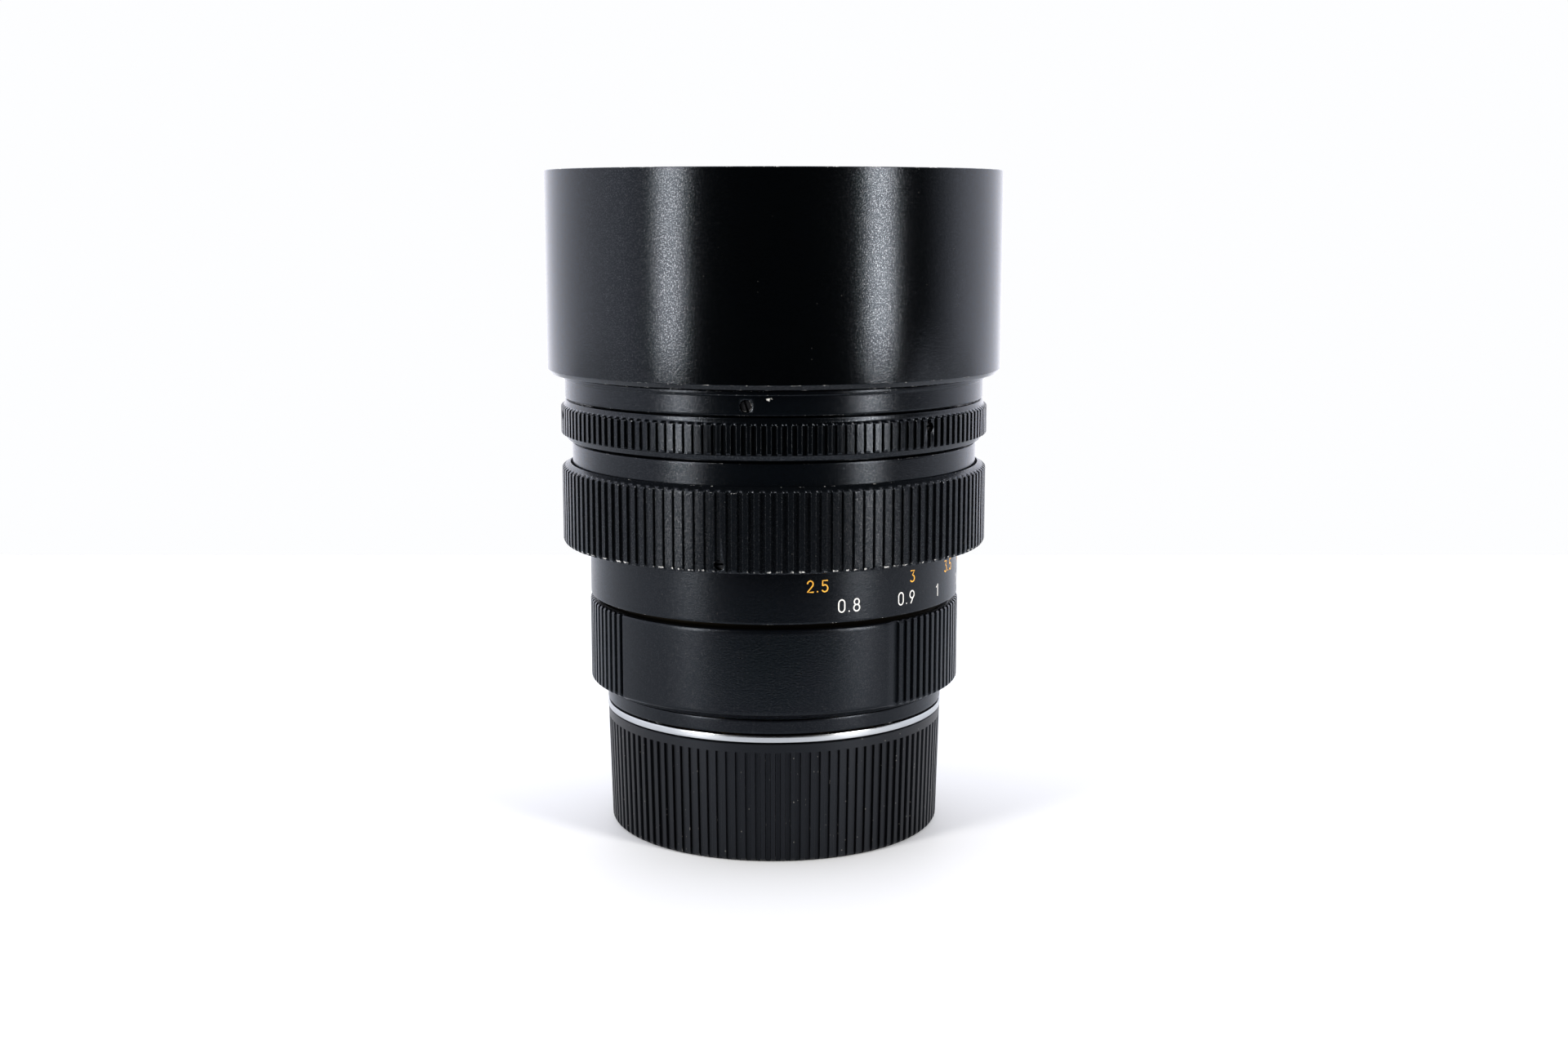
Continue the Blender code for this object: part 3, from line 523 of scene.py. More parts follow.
def ink(name, colour):
    """Paint that fills an engraving, a little dirty in places."""
    n = Surface(name)
    dirt = n.between(n.noise(2400.0, 3.0, roughness=0.7), 0.52, 0.75)
    faded = tuple(c * 0.62 + 0.01 for c in colour)
    n.set(Base_Color=n.mix(n.times(dirt, 0.7), colour, faded))
    n.set(Roughness=0.5)
    n.bump(n.noise(5200.0, 2.0), 0.3, 0.00001)
    return n.material


def enamel(name, colour):
    n = Surface(name)
    broad = n.noise(900.0, 3.0)
    n.set(Base_Color=n.mix(broad, tuple(c * 0.8 for c in colour), colour))
    n.set(Roughness=0.18, Coat_Weight=0.6, Coat_Roughness=0.08)
    n.bump(broad, 0.1, 0.00001)
    return n.material


LOOKS = {
    "hood": anodised("hood_anodised", (0.0003, 0.0005, 0.0007), 0.15, wear=0.9, grain=0.7),
    "front": anodised(
        "front_anodised",
        (0.0010, 0.0015, 0.0022),
        0.2,
        wear=0.9,
        gloss=0.15,
        nicks=((-1.1, 31.9, 68.5, 0.44), (-0.72, 31.9, 68.62, 0.2), (-0.5, 31.9, 68.64, 0.13)),
    ),
    "knurl": anodised("knurl_anodised", (0.0005, 0.0008, 0.0012), 0.18, wear=1.0),
    "grip": anodised(
        "grip_anodised", (0.0015, 0.0020, 0.0027), 0.25, wear=1.2, gloss=0.12, sparkle=0.5
    ),
    "barrel": anodised(
        "barrel_anodised", (0.0010, 0.0014, 0.0021), 0.24, wear=0.9, gloss=0.165, sparkle=0.2
    ),
    "inside": anodised("inside_anodised", (0.003, 0.003, 0.003), 0.62, wear=0.1, lathe=0.5),
    "iris": anodised("blade_steel", (0.018, 0.018, 0.021), 0.42, wear=0.2, lathe=0.3),
    # A lighter copy of the blade steel for every other blade: painted shading, which stands in for
    # the differing light each blade catches.
    "iris_painted_lighter": anodised("worn_blade_steel", (0.06, 0.06, 0.065), 0.36, wear=0.4, lathe=0.3),
    "cap": moulded_plastic("cap_plastic", (0.0014, 0.0016, 0.0021), 0.36),
    "chrome": turned_metal("flange_chrome", (0.43, 0.45, 0.47), 0.21),
    "steel": turned_metal("bright_steel", (0.46, 0.46, 0.47), 0.3, spots=0.4),
    "dark_steel": anodised("screw_steel", (0.010, 0.010, 0.011), 0.34, wear=1.3),
    "brass": turned_metal("turned_brass", (0.70, 0.50, 0.22), 0.32),
    # Brass darkened nearly to black: painted shade for the brass seen in the gap between the fixed
    # ring and the scale band.
    "dark_brass": turned_metal("greased_brass", (0.010, 0.0085, 0.006), 0.5),
    "aluminium": turned_metal("cell_aluminium", (0.55, 0.55, 0.57), 0.36),
    "glass_edge": anodised("blackened_glass_edge", (0.004, 0.004, 0.004), 0.7, wear=0.0),
    "ring_face": anodised("front_ring_anodised", (0.0015, 0.0015, 0.0018), 0.34, wear=0.4),
    "felt": felt_cloth("hood_felt"),
    "white_ink": ink("white_ink", (0.72, 0.72, 0.69)),
    "orange_ink": ink("orange_ink", (0.80, 0.40, 0.03)),
    "red": enamel("bead_enamel", (0.62, 0.015, 0.012)),
}


# ---- screws


def upright(side, radius, z):
    """A matrix that moves a shape on the axis to a place on its side of the lens."""
    return Matrix.Translation(polar(side, radius, z))


def radial_frame(side, radius, z):
    """A matrix whose local Z points away from the lens's axis at a place on its side."""
    x, y = cos(radians(side)), sin(radians(side))
    turn = Matrix(((x, 0.0, y), (y, 0.0, -x), (0.0, 1.0, 0.0))).to_4x4()
    return upright(side, radius, z) @ turn


def rod(name, matrix, profile, columns=SMALL_ROUND, rounding=0.05):
    """A solid disc or rod turned about the local Z of a matrix."""
    obj = turned(name, profile, columns, closed=False, rounding=rounding)
    obj.data.transform(matrix)
    return obj


def drill(matrix, profile, columns=SMALL_ROUND):
    """A cutter with sharp corners, turned about the local Z of a matrix."""
    return rod("drill", matrix, profile, columns, rounding=0.0)


def slot_cutter(matrix, width, length, depth, tilt):
    """A box that cuts a screwdriver slot into the face at a matrix's origin."""
    turn = Matrix.Rotation(radians(tilt), 4, "Z")
    return box_at(matrix @ turn, (length, width, 2 * depth))


def fit_screws(ring, name, body, screws, z, hole, screw):
    """Slotted set screws at sides, each with the tilt of its slot, in chamfered holes whose chamfers
    show bare metal: partly real wear, partly a painted highlight.

    Both the hole and the screw are given as (inner radius, outer radius, own radius).
    """
    # A wear of 2 bares most of each chamfer: worn metal, and also a painted highlight for the thin
    # bright rim of the hole.
    chamfer, worn = 0.1, 2.0
    inner, outer, radius = hole
    narrow, end = radius - chamfer, inner - outer
    profile = [(0.0, 1.0), (radius + 1.0, 1.0, worn), (radius, 0.0, worn)]
    profile += [(narrow, -chamfer, worn), (narrow, -2 * chamfer), (narrow, end), (0.0, end)]
    cut_away(ring, [drill(radial_frame(side, outer, z), profile) for side in screws], sharp=70.0)

    tail, face, radius = screw
    shank = cylinder(radius, 0.0, tail - face)
    for k, (side, tilt) in enumerate(screws.items(), start=1):
        matrix = radial_frame(side, face, z)
        piece = rod(f"{name}_{k}_slotted", matrix, shank, rounding=0.12)
        cut_away(piece, [slot_cutter(matrix, 0.3, 2.4 * radius, 0.6, tilt)])
        place(piece, "dark_steel", body, "blued_steel", f"{name}_{k}")


# ---- rear cap and mount

CAP_R = 25.95
CAP_FOOT_R = 25.5
CAP_TOP = 17.9
CAP_FLOOR = 1.6
CAP_BORE_R = 23.2
CAP_FLUTE_DEPTH = 0.42
CAP_FLUTE_TOP = 16.55

# Bayonet lugs, as (side of the middle, span)
LUGS = ((20.0, 48.0), (140.0, 44.0), (260.0, 40.0))
LUG_R = 22.0
LUG_Z = (14.35, 15.8)
BAYONET_R = (19.3, 20.3)
FLANGE_Z = (18.17, 19.16)
FLANGE_SCREWS = around(45.0, 4)
FLANGE_SCREW_R = 24.0


def sector(name, radii, heights, middle, span, steps=24, rounding=0.12):
    """A solid piece of a ring between two sides, with softened long edges."""
    inner, outer = radii
    low, high = heights
    section = soften(band(inner, outer, high, low), rounding)
    sides = [middle - span / 2 + span * i / steps for i in range(steps + 1)]
    size = len(section)
    vertices = [polar(side, r, z) for side in sides for r, z, _ in section]
    wear = [worn for _ in sides for _, _, worn in section]
    faces = [list(range(size)), list(range(steps * size, (steps + 1) * size))]
    return new_object(name, vertices, faces + grid(steps + 1, size), wear)


def make_rear_cap():
    foot = 0.45
    taper = (CAP_R - CAP_FOOT_R) / (CAP_TOP - foot)

    def station(z, wear, cut=1.0):
        radius = CAP_FOOT_R + taper * (z - foot)
        return (radius, radius - CAP_FLUTE_DEPTH * cut, z, wear)

    low = CAP_FOOT_R - CAP_FLUTE_DEPTH
    rim = [(CAP_R - 0.35, CAP_TOP, 0.0), (CAP_R - 0.1, CAP_TOP, 0.7), (CAP_R, CAP_TOP - 0.1, 1.0)]
    outer = grooved(rim, CAP_R)
    outer += [station(CAP_TOP - 0.35, 0.0, 0.0), station(CAP_FLUTE_TOP + 0.3, 0.0, 0.0)]
    outer += [station(CAP_FLUTE_TOP + 0.03, 0.5, 0.0), station(CAP_FLUTE_TOP - 0.09, 0.5)]
    outer += [station(CAP_FLUTE_TOP - 0.35, 0.1), station(9.0, 0.1), station(0.9, 0.1)]
    outer += [station(0.5, 0.7), (CAP_FOOT_R - 0.17, low, 0.2, 0.9)]
    outer += [(low, low, 0.02, 0.5), (low - 0.05, low - 0.05, 0.0, 0.2)]
    under = [(22.0, 0.0), (21.9, 0.05), (21.8, 0.35), (21.7, 0.4), (6.0, 0.4), (0.0, 0.4)]
    cup = [(0.0, CAP_FLOOR), (8.0, CAP_FLOOR), (CAP_BORE_R - 0.6, CAP_FLOOR)]
    cup += [(CAP_BORE_R - 0.17, CAP_FLOOR + 0.17), (CAP_BORE_R, CAP_FLOOR + 0.6)]
    cup += [(CAP_BORE_R, CAP_TOP - 0.1, 0.3), (CAP_BORE_R + 0.1, CAP_TOP, 0.5)]
    cap = fluted("rear_cap_fluted", ribs(110, 1.5), outer, under, 28.0, 0.35, 0.5, cup, False)
    radii = (21.2, CAP_BORE_R + 0.4)
    hooks = [sector("hook", radii, (16.0, 17.3), middle + 60.0, 30.0) for middle, _ in LUGS]
    join_to(cap, hooks, sharp=28.0)
    place(cap, "cap", "rear_cap", "cap_plastic", "rear_cap")


def flange_holes(z, radius, high, low):
    """Cutters for the flange's screws, between two heights from z."""
    hole = cylinder(radius, high, low)
    return [drill(upright(side, FLANGE_SCREW_R, z), hole) for side in FLANGE_SCREWS]


def make_flange():
    (bore, tube), (under, top), lip = BAYONET_R, FLANGE_Z, 14.3
    profile = [(bore, top), (26.05, top), (26.05, under), (tube, under), (tube, lip), (bore, lip)]
    flange = turned("bayonet_flange_plated", profile, rounding=0.12)
    radii = (tube - 0.4, LUG_R)
    join_to(flange, [sector("lug", radii, LUG_Z, middle, span) for middle, span in LUGS])
    cut_away(flange, flange_holes(under, 1.5, 2.0, -0.5))
    place(flange, "chrome", "mount", "chrome", "bayonet_flange")

    profile = [(0.0, 2.05), (0.7, 2.05), (0.7, 0.0), (1.3, 0.0), (1.3, -0.65), (0.0, -0.65)]
    for k, side in enumerate(FLANGE_SCREWS, start=1):
        matrix = upright(side, FLANGE_SCREW_R, 18.95)
        screw = rod(f"flange_screw_{k}_slotted", matrix, profile, rounding=0.14)
        face = upright(side, FLANGE_SCREW_R, 18.3)
        cut_away(screw, [slot_cutter(face, 0.32, 3.2, 0.32, 23.0 + 61.0 * k)])
        place(screw, "steel", "mount", "steel", f"flange_screw_{k}")


# ---- fixed barrel

FIXED_PLAIN = ((-50.7, 37.6), (INDEX_SIDE - 36.0, INDEX_SIDE + 36.0))
FIXED_R = 28.5
STEP_R = 26.0
GUIDE_SIDES = (90.0, 270.0)


def make_fixed_barrel():
    step = turned("step_ring_turned", band(21.5, STEP_R, 21.5, 19.46), rounding=0.13, worn=0.6)
    bead_at = radial_frame(INDEX_SIDE, STEP_R, 20.5)
    seat = drill(bead_at, cylinder(1.05, 1.0, -1.0))
    cut_away(step, [seat] + flange_holes(20.0, 0.9, 1.2, -1.5))
    place(step, "barrel", "mount", BLACK, "step_ring")

    profile = [(0.0, 0.2), (0.3, 0.18), (0.55, 0.08), (0.72, -0.08), (0.8, -0.3)]
    profile += [(0.8, -0.7), (0.0, -0.7)]
    bead = rod("mounting_index_dome", bead_at, profile, rounding=0.04)
    place(bead, "red", "mount", "red_bead", "mounting_index_bead")

    outer = [(28.0, 35.3), (28.28, 35.3, 0.7), (28.45, 35.17, 1.0), (FIXED_R, 35.0, 0.7)]
    outer += [(FIXED_R, 34.7, 0.1), (FIXED_R, 29.0, 0.1), (FIXED_R, 23.3, 0.1), (FIXED_R, 23.0, 0.8)]
    outer += [(28.42, 22.86, 1.0), (28.1, 22.67, 0.3), (27.2, 22.15), (26.7, 21.87, 0.1)]
    outer += [(26.5, 21.78, 0.5), (26.45, 21.85)]
    inner = [(26.4, 22.9), (27.2, 23.3), (27.3, 23.45), (27.3, 35.15), (27.42, 35.3, 0.2)]
    columns = ribs(118, 39.3, plain=FIXED_PLAIN)
    fixed = fluted("fixed_ring_ribbed", columns, grooved(outer, 28.1), inner)
    place(fixed, "barrel", "mount", BLACK, "fixed_ring")

    profile = [(23.5, 45.5), (24.7, 45.5), (24.7, 23.0), (26.1, 23.0), (26.1, 21.8), (23.5, 21.8)]
    guide = turned("guide_sleeve_turned", profile)
    slots = [box_at(radial_frame(side, 24.1, 37.5), (3.2, 20.0, 3.0)) for side in GUIDE_SIDES]
    cut_away(guide, slots)
    # The sleeve takes the brass darkened as painted shade, where it shows in the gap between the
    # rings.
    place(guide, "dark_brass", "mount", "brass", "guide_sleeve")


# ---- focusing


def make_focus():
    cam = turned("rangefinder_cam_polished", band(17.6, 19.0, 24.4, 10.67), rounding=0.15)
    place(cam, "brass", "cam_sleeve", "brass", "rangefinder_cam_sleeve")

    outer = [(31.26, 56.3, 0.6), (31.34, 56.26, 2.0), (31.42, 56.21, 0.6), (31.5, 56.17)]
    outer += [(31.9, 55.92), (32.08, 55.81, 0.3), (32.42, 55.6, 0.4), (32.48, 55.53, 1.0)]
    outer += [(32.5, 55.42, 0.6), (32.5, 55.1), (32.5, 50.0, 0.1), (32.5, 44.8)]
    outer += [(32.5, 44.56, 1.0), (32.45, 44.44, 1.75), (32.33, 44.2, 0.4), (32.2, 44.1, 0.5)]
    outer += [(31.9, 44.1)]
    inner = [(28.8, 44.1), (28.7, 44.2), (28.7, 46.4), (28.8, 46.5), (31.1, 46.5), (31.2, 46.6)]
    inner += [(31.2, 56.24)]
    outer = grooved(outer, 32.08)
    grip = fluted("focus_ring_ribbed", ribs(128, 0.2), outer, inner, across=0.75)
    screws = {-13.5: 4.0, 106.5: 37.0, 226.5: -25.0}
    hole, screw = (28.4, 32.55, 0.85), (29.0, 31.6, 0.7)
    fit_screws(grip, "focus_ring_screw", "focus", screws, 45.3, hole, screw)
    place(grip, "grip", "focus", BLACK, "focus_ring")

    scale = turned("distance_scale_band", band(27.2, SCALE_BAND_R, 46.2, 36.1), rounding=0.12)
    place(scale, "barrel", "focus", BLACK, "distance_scale_ring")

    collar = [(25.0, 47.9), (30.8, 47.9), (30.9, 47.8), (30.9, 46.9), (30.8, 46.8), (26.9, 46.8)]
    foot = [(26.9, 24.6), (26.8, 24.5), (25.0, 24.5)]

    def section_at(side):
        return collar + thread(46.0, 26.0, 26.9, -0.35, 2.4, side) + foot

    helicoid = threaded("focus_helicoid_threaded", 96, section_at)
    place(helicoid, "dark_brass", "focus", "brass", "focus_helicoid")


# ---- head and front


HEAD_R = 30.9
NECK_R = 29.0
DECK_Z = 59.45


def make_head():
    profile = [(28.2, 65.9), (NECK_R, 65.9), (NECK_R, DECK_Z), (HEAD_R, DECK_Z), (HEAD_R, 48.4)]
    profile += [(29.9, 48.4), (29.9, 57.0), (23.1, 57.0), (23.1, 26.5), (21.2, 26.5)]
    profile += [(21.2, DECK_Z), (28.2, DECK_Z)]
    head = turned("head_barrel_turned", profile)
    window = sector("window", (27.0, 29.6), (63.6, 64.8), 66.0, 82.0, rounding=0.0)
    bore = drill(upright(CLICK_SIDE, CLICK_R, 0.0), cylinder(0.65, 60.5, 57.5))
    cut_away(head, [window, bore])
    place(head, "front", "head", BLACK, "head_barrel")


def make_front_barrel():
    outer = [(30.15, 96.5), (31.6, 96.5), (31.6, 69.7), (32.1, 69.7), (32.1, 69.1), (31.9, 69.1)]
    outer += [(31.9, 66.25), (27.9, 66.25), (27.9, 65.0), (26.5, 65.0), (26.5, 68.0)]
    outer = soften(outer + [(28.4, 68.0), (28.4, 92.5), (30.0, 92.5)])

    def section_at(side):
        return outer + thread(92.8, 96.3, 30.0, 0.42, 0.75, side)

    front = threaded("front_barrel_turned", ROUND, section_at)
    screws = {-6.7: 108.0, 173.3: 148.0}
    hole, screw = (29.0, 31.95, 1.0), (29.6, 31.35, 0.82)
    fit_screws(front, "front_barrel_screw", "head", screws, 67.54, hole, screw)
    place(front, "front", "head", BLACK, "front_barrel")
    stop = turned("hood_stop_turned", band(31.9, 32.9, 96.4, 95.3))
    place(stop, "inside", "head", BLACK, "hood_stop_ring")


def make_hood():
    section = [(33.2, 99.95, 0.3), (33.3, 100.05, 0.5), (34.36, 100.05), (34.4, 100.04, 1.3)]
    section += [(34.49, 99.95, 0.9), (34.5, 99.91), (34.5, 70.74), (34.49, 70.66, 1.1)]
    section += [(34.46, 70.61, 1.0), (34.43, 70.57), (33.98, 70.05), (33.92, 69.98, 1.3)]
    section += [(33.84, 69.95, 0.4), (32.3, 69.95), (32.2, 70.05), (32.2, 70.9), (33.2, 70.9)]
    # Fine ridges inside keep stray light from the glass.
    low, high, pitch = 76.0, 98.6, 0.8
    for k in range(round((high - low) / pitch)):
        z = low + pitch * k
        section += [(33.2, z), (33.42, z + 0.12), (33.2, z + 0.62)]
    hood = turned("lens_hood_turned", section, rounding=0.0)
    place(hood, "hood", "hood", BLACK, "lens_hood")

    felt = turned("hood_felt_ring", band(31.9, 32.9, 75.0, 71.2))
    place(felt, "felt", "hood", "felt", "hood_felt_band")


# ---- engraved marks

STROKE = 0.094
MARK_PROUD = 0.012
MARK_SUNK = 0.06


def bow(x, y, rx, ry, start, end, steps=14):
    """Points on part of an ellipse, in the units of a numeral's height."""
    angles = [radians(start + (end - start) * i / steps) for i in range(steps + 1)]
    return [(x + rx * cos(a), y + ry * sin(a)) for a in angles]


# Strokes of each numeral, one unit high and NUMERAL_WIDTH wide
NUMERAL_WIDTH = 0.52
GLYPHS = {
    "0": [bow(0.26, 0.7, 0.26, 0.3, 0, 180) + bow(0.26, 0.3, 0.26, 0.3, 180, 360) + [(0.52, 0.7)]],
    "1": [[(0.1, 0.76), (0.34, 1.0), (0.34, 0.0)]],
    "2": [bow(0.26, 0.72, 0.25, 0.28, 170, -38) + [(0.0, 0.0), (0.52, 0.0)]],
    "3": [[(0.02, 1.0), (0.5, 1.0), (0.22, 0.6)] + bow(0.22, 0.3, 0.29, 0.3, 80, -140)],
    "4": [[(0.3, 1.0), (0.0, 0.3), (0.54, 0.3)], [(0.38, 0.55), (0.38, 0.0)]],
    "5": [[(0.48, 1.0), (0.06, 1.0), (0.04, 0.54)] + bow(0.25, 0.31, 0.27, 0.31, 130, -145)],
    "6": [[(0.4, 1.0)] + bow(0.27, 0.3, 0.26, 0.3, 165, 525, 22)],
    "7": [[(0.0, 1.0), (0.52, 1.0), (0.18, 0.0)]],
    "8": [bow(0.26, 0.76, 0.22, 0.24, -90, 270, 20), bow(0.26, 0.27, 0.26, 0.27, 90, 450, 22)],
    "9": [[(0.12, 0.0)] + bow(0.25, 0.7, 0.26, 0.3, -15, 345, 22)],
    ".": [[(0.05, 0.03), (0.05, 0.04)]],
    "~": [bow(0.25, 0.4, 0.25, 0.22, 0, 360, 20), bow(0.75, 0.4, 0.25, 0.22, 0, 360, 20)],
}
GLYPH_WIDTHS = {".": 0.12, "1": 0.42, "~": 1.0}
GLYPH_SPACE = 0.34


def ribbon(points, half):
    """The left and right edges of a stroke along points, and whether it is a loop."""
    closed = math.dist(points[0], points[-1]) < 1e-6 and len(points) > 3
    path = points[:-1] if closed else points
    first, last = (path[-1], path[0]) if closed else (path[0], path[-1])
    left, right = [], []
    for before, here, after in zip([first, *path], path, [*path[1:], last]):
        along = (Vector(after) - Vector(before)).normalized()
        across = Vector((-along.y, along.x)) * half
        left.append(Vector(here) + across)
        right.append(Vector(here) - across)
    return left, right, closed


def marking(name, strokes, radius, line=STROKE):
    """Paint that fills strokes engraved on a band, and stands a hair proud of it.

    The points of a stroke are the distance round the band from side 0, and the height.
    """
    vertices, faces = [], []

    def surface(point, lift):
        return polar(math.degrees(point[0] / radius), radius + lift, point[1])

    def fan(centre, start):
        base, steps = len(vertices), 8
        angles = [radians(start + 180.0 * i / steps) for i in range(steps + 1)]
        rim = [(centre[0] + line * cos(a), centre[1] + line * sin(a)) for a in angles]
        vertices.extend(surface(point, lift) for lift in (MARK_PROUD, -MARK_SUNK) for point in rim)
        top = range(base, base + steps + 1)
        faces.extend([list(top), [i + steps + 1 for i in top]])
        faces.extend([i, i + steps + 1, i + steps + 2, i + 1] for i in top[:-1])

    for stroke in strokes:
        left, right, closed = ribbon(stroke, line)
        base = len(vertices)
        for l, r in zip(left, right):
            vertices += [surface(l, -MARK_SUNK), surface(l, MARK_PROUD)]
            vertices += [surface(r, MARK_PROUD), surface(r, -MARK_SUNK)]
        faces += [[base + i for i in face] for face in grid(len(left), 4, wrap=closed)]
        if not closed:
            for end, towards in ((0, 1), (-1, -2)):
                here, there = stroke[end], stroke[towards]
                angle = math.degrees(math.atan2(here[1] - there[1], here[0] - there[0]))
                fan(here, angle - 90.0)
    return new_object(name, vertices, faces)


def written(text, side, z, height, radius):
    """Strokes of a number whose middle is at a side and a height of a band."""
    widths = [GLYPH_WIDTHS.get(c, NUMERAL_WIDTH) for c in text]
    total = sum(widths) + GLYPH_SPACE * (len(text) - 1)
    x = -total / 2
    strokes = []
    middle = radians(side) * radius
    for c, width in zip(text, widths):
        for stroke in GLYPHS[c]:
            strokes.append(
                [(middle + (x + px) * height, z + (py - 0.5) * height) for px, py in stroke]
            )
        x += width + GLYPH_SPACE
    return strokes


def line_mark(side, low, high, radius):
    x = radians(side) * radius
    return [[(x, low), (x, high)]]


FOCAL_LENGTH = 75.0
DEGREES_PER_MM = 17.2
METRES = (0.8, 0.9, 1, 1.2, 1.5, 2, 3, 5, 10)
FEET = (2.5, 3, 3.5, 4, 5, 7, 10, 15, 30)
FOOT = 0.3048
STOPS = ("1.4", "2", "2.8", "4", "5.6", "8", "11", "16")
# Between the first and the last stop
STOPS_SPAN = 72.0
# Half the spread of the depth-of-field lines of a stop
DEPTH_SIDES = {"4": 3.4, "8": 6.8, "16": 13.6}


def distance_side(metres):
    """Where a distance is engraved: the lens moves out by x when f * f = x * (d - 2 f - x)."""
    free = metres * 1000.0 - 2 * FOCAL_LENGTH
    travel = (free - math.sqrt(free**2 - 4 * FOCAL_LENGTH**2)) / 2
    return INDEX_SIDE - DEGREES_PER_MM * travel


def make_marks():
    def painted(name, strokes, radius, look, body, line=STROKE):
        place(marking(name, strokes, radius, line), look, body, BLACK)

    metre_marks, feet_marks = [], []
    for metres in METRES:
        side = distance_side(metres)
        metre_marks += written(f"{metres:g}", side, 38.5, 1.78, SCALE_BAND_R)
    for feet in FEET:
        side = distance_side(feet * FOOT)
        feet_marks += written(f"{feet:g}", side, 41.55, 1.62, SCALE_BAND_R)
    metre_marks += written("~", INDEX_SIDE, 38.6, 1.7, SCALE_BAND_R)
    painted("metre_numbers", metre_marks, SCALE_BAND_R, "white_ink", "focus")
    painted("feet_numbers", feet_marks, SCALE_BAND_R, "orange_ink", "focus")

    depth = line_mark(INDEX_SIDE, 31.4, 35.0, FIXED_R)
    for stop, spread in DEPTH_SIDES.items():
        for side in (INDEX_SIDE - spread, INDEX_SIDE + spread):
            depth += line_mark(side, 33.4, 35.0, FIXED_R)
            depth += written(stop, side, 31.6, 1.5, FIXED_R)
    painted("depth_marks", depth, FIXED_R, "white_ink", "mount", 0.1)

    stops = []
    for k, stop in enumerate(STOPS):
        side = INDEX_SIDE + STOPS_SPAN / 7 * k
        stops += written(stop, side, 57.4, 1.7, HEAD_R)
        stops += line_mark(side, 58.75, 59.25, HEAD_R)
    painted("stop_numbers", stops, HEAD_R, "white_ink", "head")
    pointer = line_mark(INDEX_SIDE, 60.1, 60.5, AP_LIP_R)
    painted("stop_pointer", pointer, AP_LIP_R, "white_ink", "aperture", 0.15)


# ---- aperture

AP_LIP_R = 31.64
DRIVE_KEY_SIDE = 30.0


def make_aperture():
    outer = [(31.6, 65.95), (31.8, 65.95, 0.2), (31.88, 65.87, 0.3), (31.9, 65.7)]
    outer += [(31.92, 65.45), (31.99, 65.28, 0.1), (32.12, 65.15, 0.3), (32.45, 64.97, 0.4)]
    outer += [(32.53, 64.9, 1.3), (32.55, 64.78, 0.5), (32.55, 64.5), (32.55, 61.2)]
    outer += [(32.55, 60.94, 0.9), (32.47, 60.82, 1.2), (32.12, 60.78, 0.3), (31.74, 60.72)]
    outer += [(AP_LIP_R, 60.6), (AP_LIP_R, 60.05, 0.2), (31.54, 59.95, 0.6), (31.3, 59.95)]
    inner = [(29.4, 59.95), (29.3, 60.05), (29.3, 65.85), (29.4, 65.95)]
    ring = fluted("aperture_ring_knurled", ribs(144, 0.35, 0.2), grooved(outer, 32.12), inner)
    half_stop, dent = STOPS_SPAN / 14, cylinder(0.35, 0.5, -0.5)
    cutters = [box_at(radial_frame(DRIVE_KEY_SIDE, 29.5, 64.2), (2.0, 1.2, 2.2))]
    for k in range(15):
        matrix = radial_frame(CLICK_SIDE - k * half_stop, CLICK_R, 59.95)
        cutters.append(drill(matrix, dent, 16))
    cut_away(ring, cutters, sharp=70.0)
    screws = {43.2: 12.0, 163.2: 71.0, 283.2: -40.0}
    hole, screw = (29.0, 32.6, 0.8), (29.6, 31.9, 0.65)
    fit_screws(ring, "aperture_ring_screw", "aperture", screws, 63.8, hole, screw)
    place(ring, "knurl", "aperture", BLACK, "aperture_ring")


# ---- click and keys


def softened_box(name, side, radii, width, heights):
    """A block with rounded edges between two radii of the lens, pointing at its axis."""
    (inner, outer), (low, high) = radii, heights
    matrix = radial_frame(side, (inner + outer) / 2, (low + high) / 2)
    block = box_at(matrix, (width, high - low, outer - inner))
    block.name = name
    bevel = block.modifiers.new("rounding", "BEVEL")
    bevel.width, bevel.segments = 0.12 * MM, 3
    cut_away(block, [])
    return block


def make_keys():
    for k, side in enumerate(GUIDE_SIDES, start=1):
        key = softened_box(f"guide_key_{k}_ground", side, (23.4, 24.6), 2.4, (28.0, 36.0))
        place(key, "steel", "head", "steel", f"guide_key_{k}")
    radii, heights = (27.65, 30.3), (63.9, 64.5)
    key = softened_box("aperture_drive_key_ground", DRIVE_KEY_SIDE, radii, 1.4, heights)
    place(key, "steel", "aperture", "steel", "aperture_drive_key")


def make_click():
    arc = [(0.5 * cos(a), 0.5 * sin(a)) for a in map(radians, range(75, -90, -15))]
    seat = upright(CLICK_SIDE, CLICK_R, 59.35)
    ball = rod("click_ball_polished", seat, [(0.0, 0.5), *arc, (0.0, -0.5)], rounding=0.0)
    place(ball, "steel", "click_ball", "steel", "click_ball")

    turns, steps, sides, coil, wire, low, high = 3, 24, 10, 0.33, 0.07, 57.82, 58.63
    foot = polar(CLICK_SIDE, CLICK_R)
    vertices = []
    for i in range(turns * steps + 1):
        side = 90.0 - 360.0 * i / steps
        middle = low + (high - low) * i / (turns * steps)
        for turn in (math.tau * k / sides for k in range(sides)):
            reach, lift = coil + wire * cos(turn), wire * sin(turn)
            vertices.append(foot + polar(side, reach, middle + lift))
    ends = [list(range(sides)), list(range(turns * steps * sides, len(vertices)))]
    faces = grid(turns * steps + 1, sides) + ends
    spring = new_object("click_spring_wound", vertices, faces)
    place(spring, "steel", "head", "steel", "click_spring")
    tuple(polar(CLICK_SIDE, CLICK_R, low - wire))
    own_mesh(spring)


# ---- iris

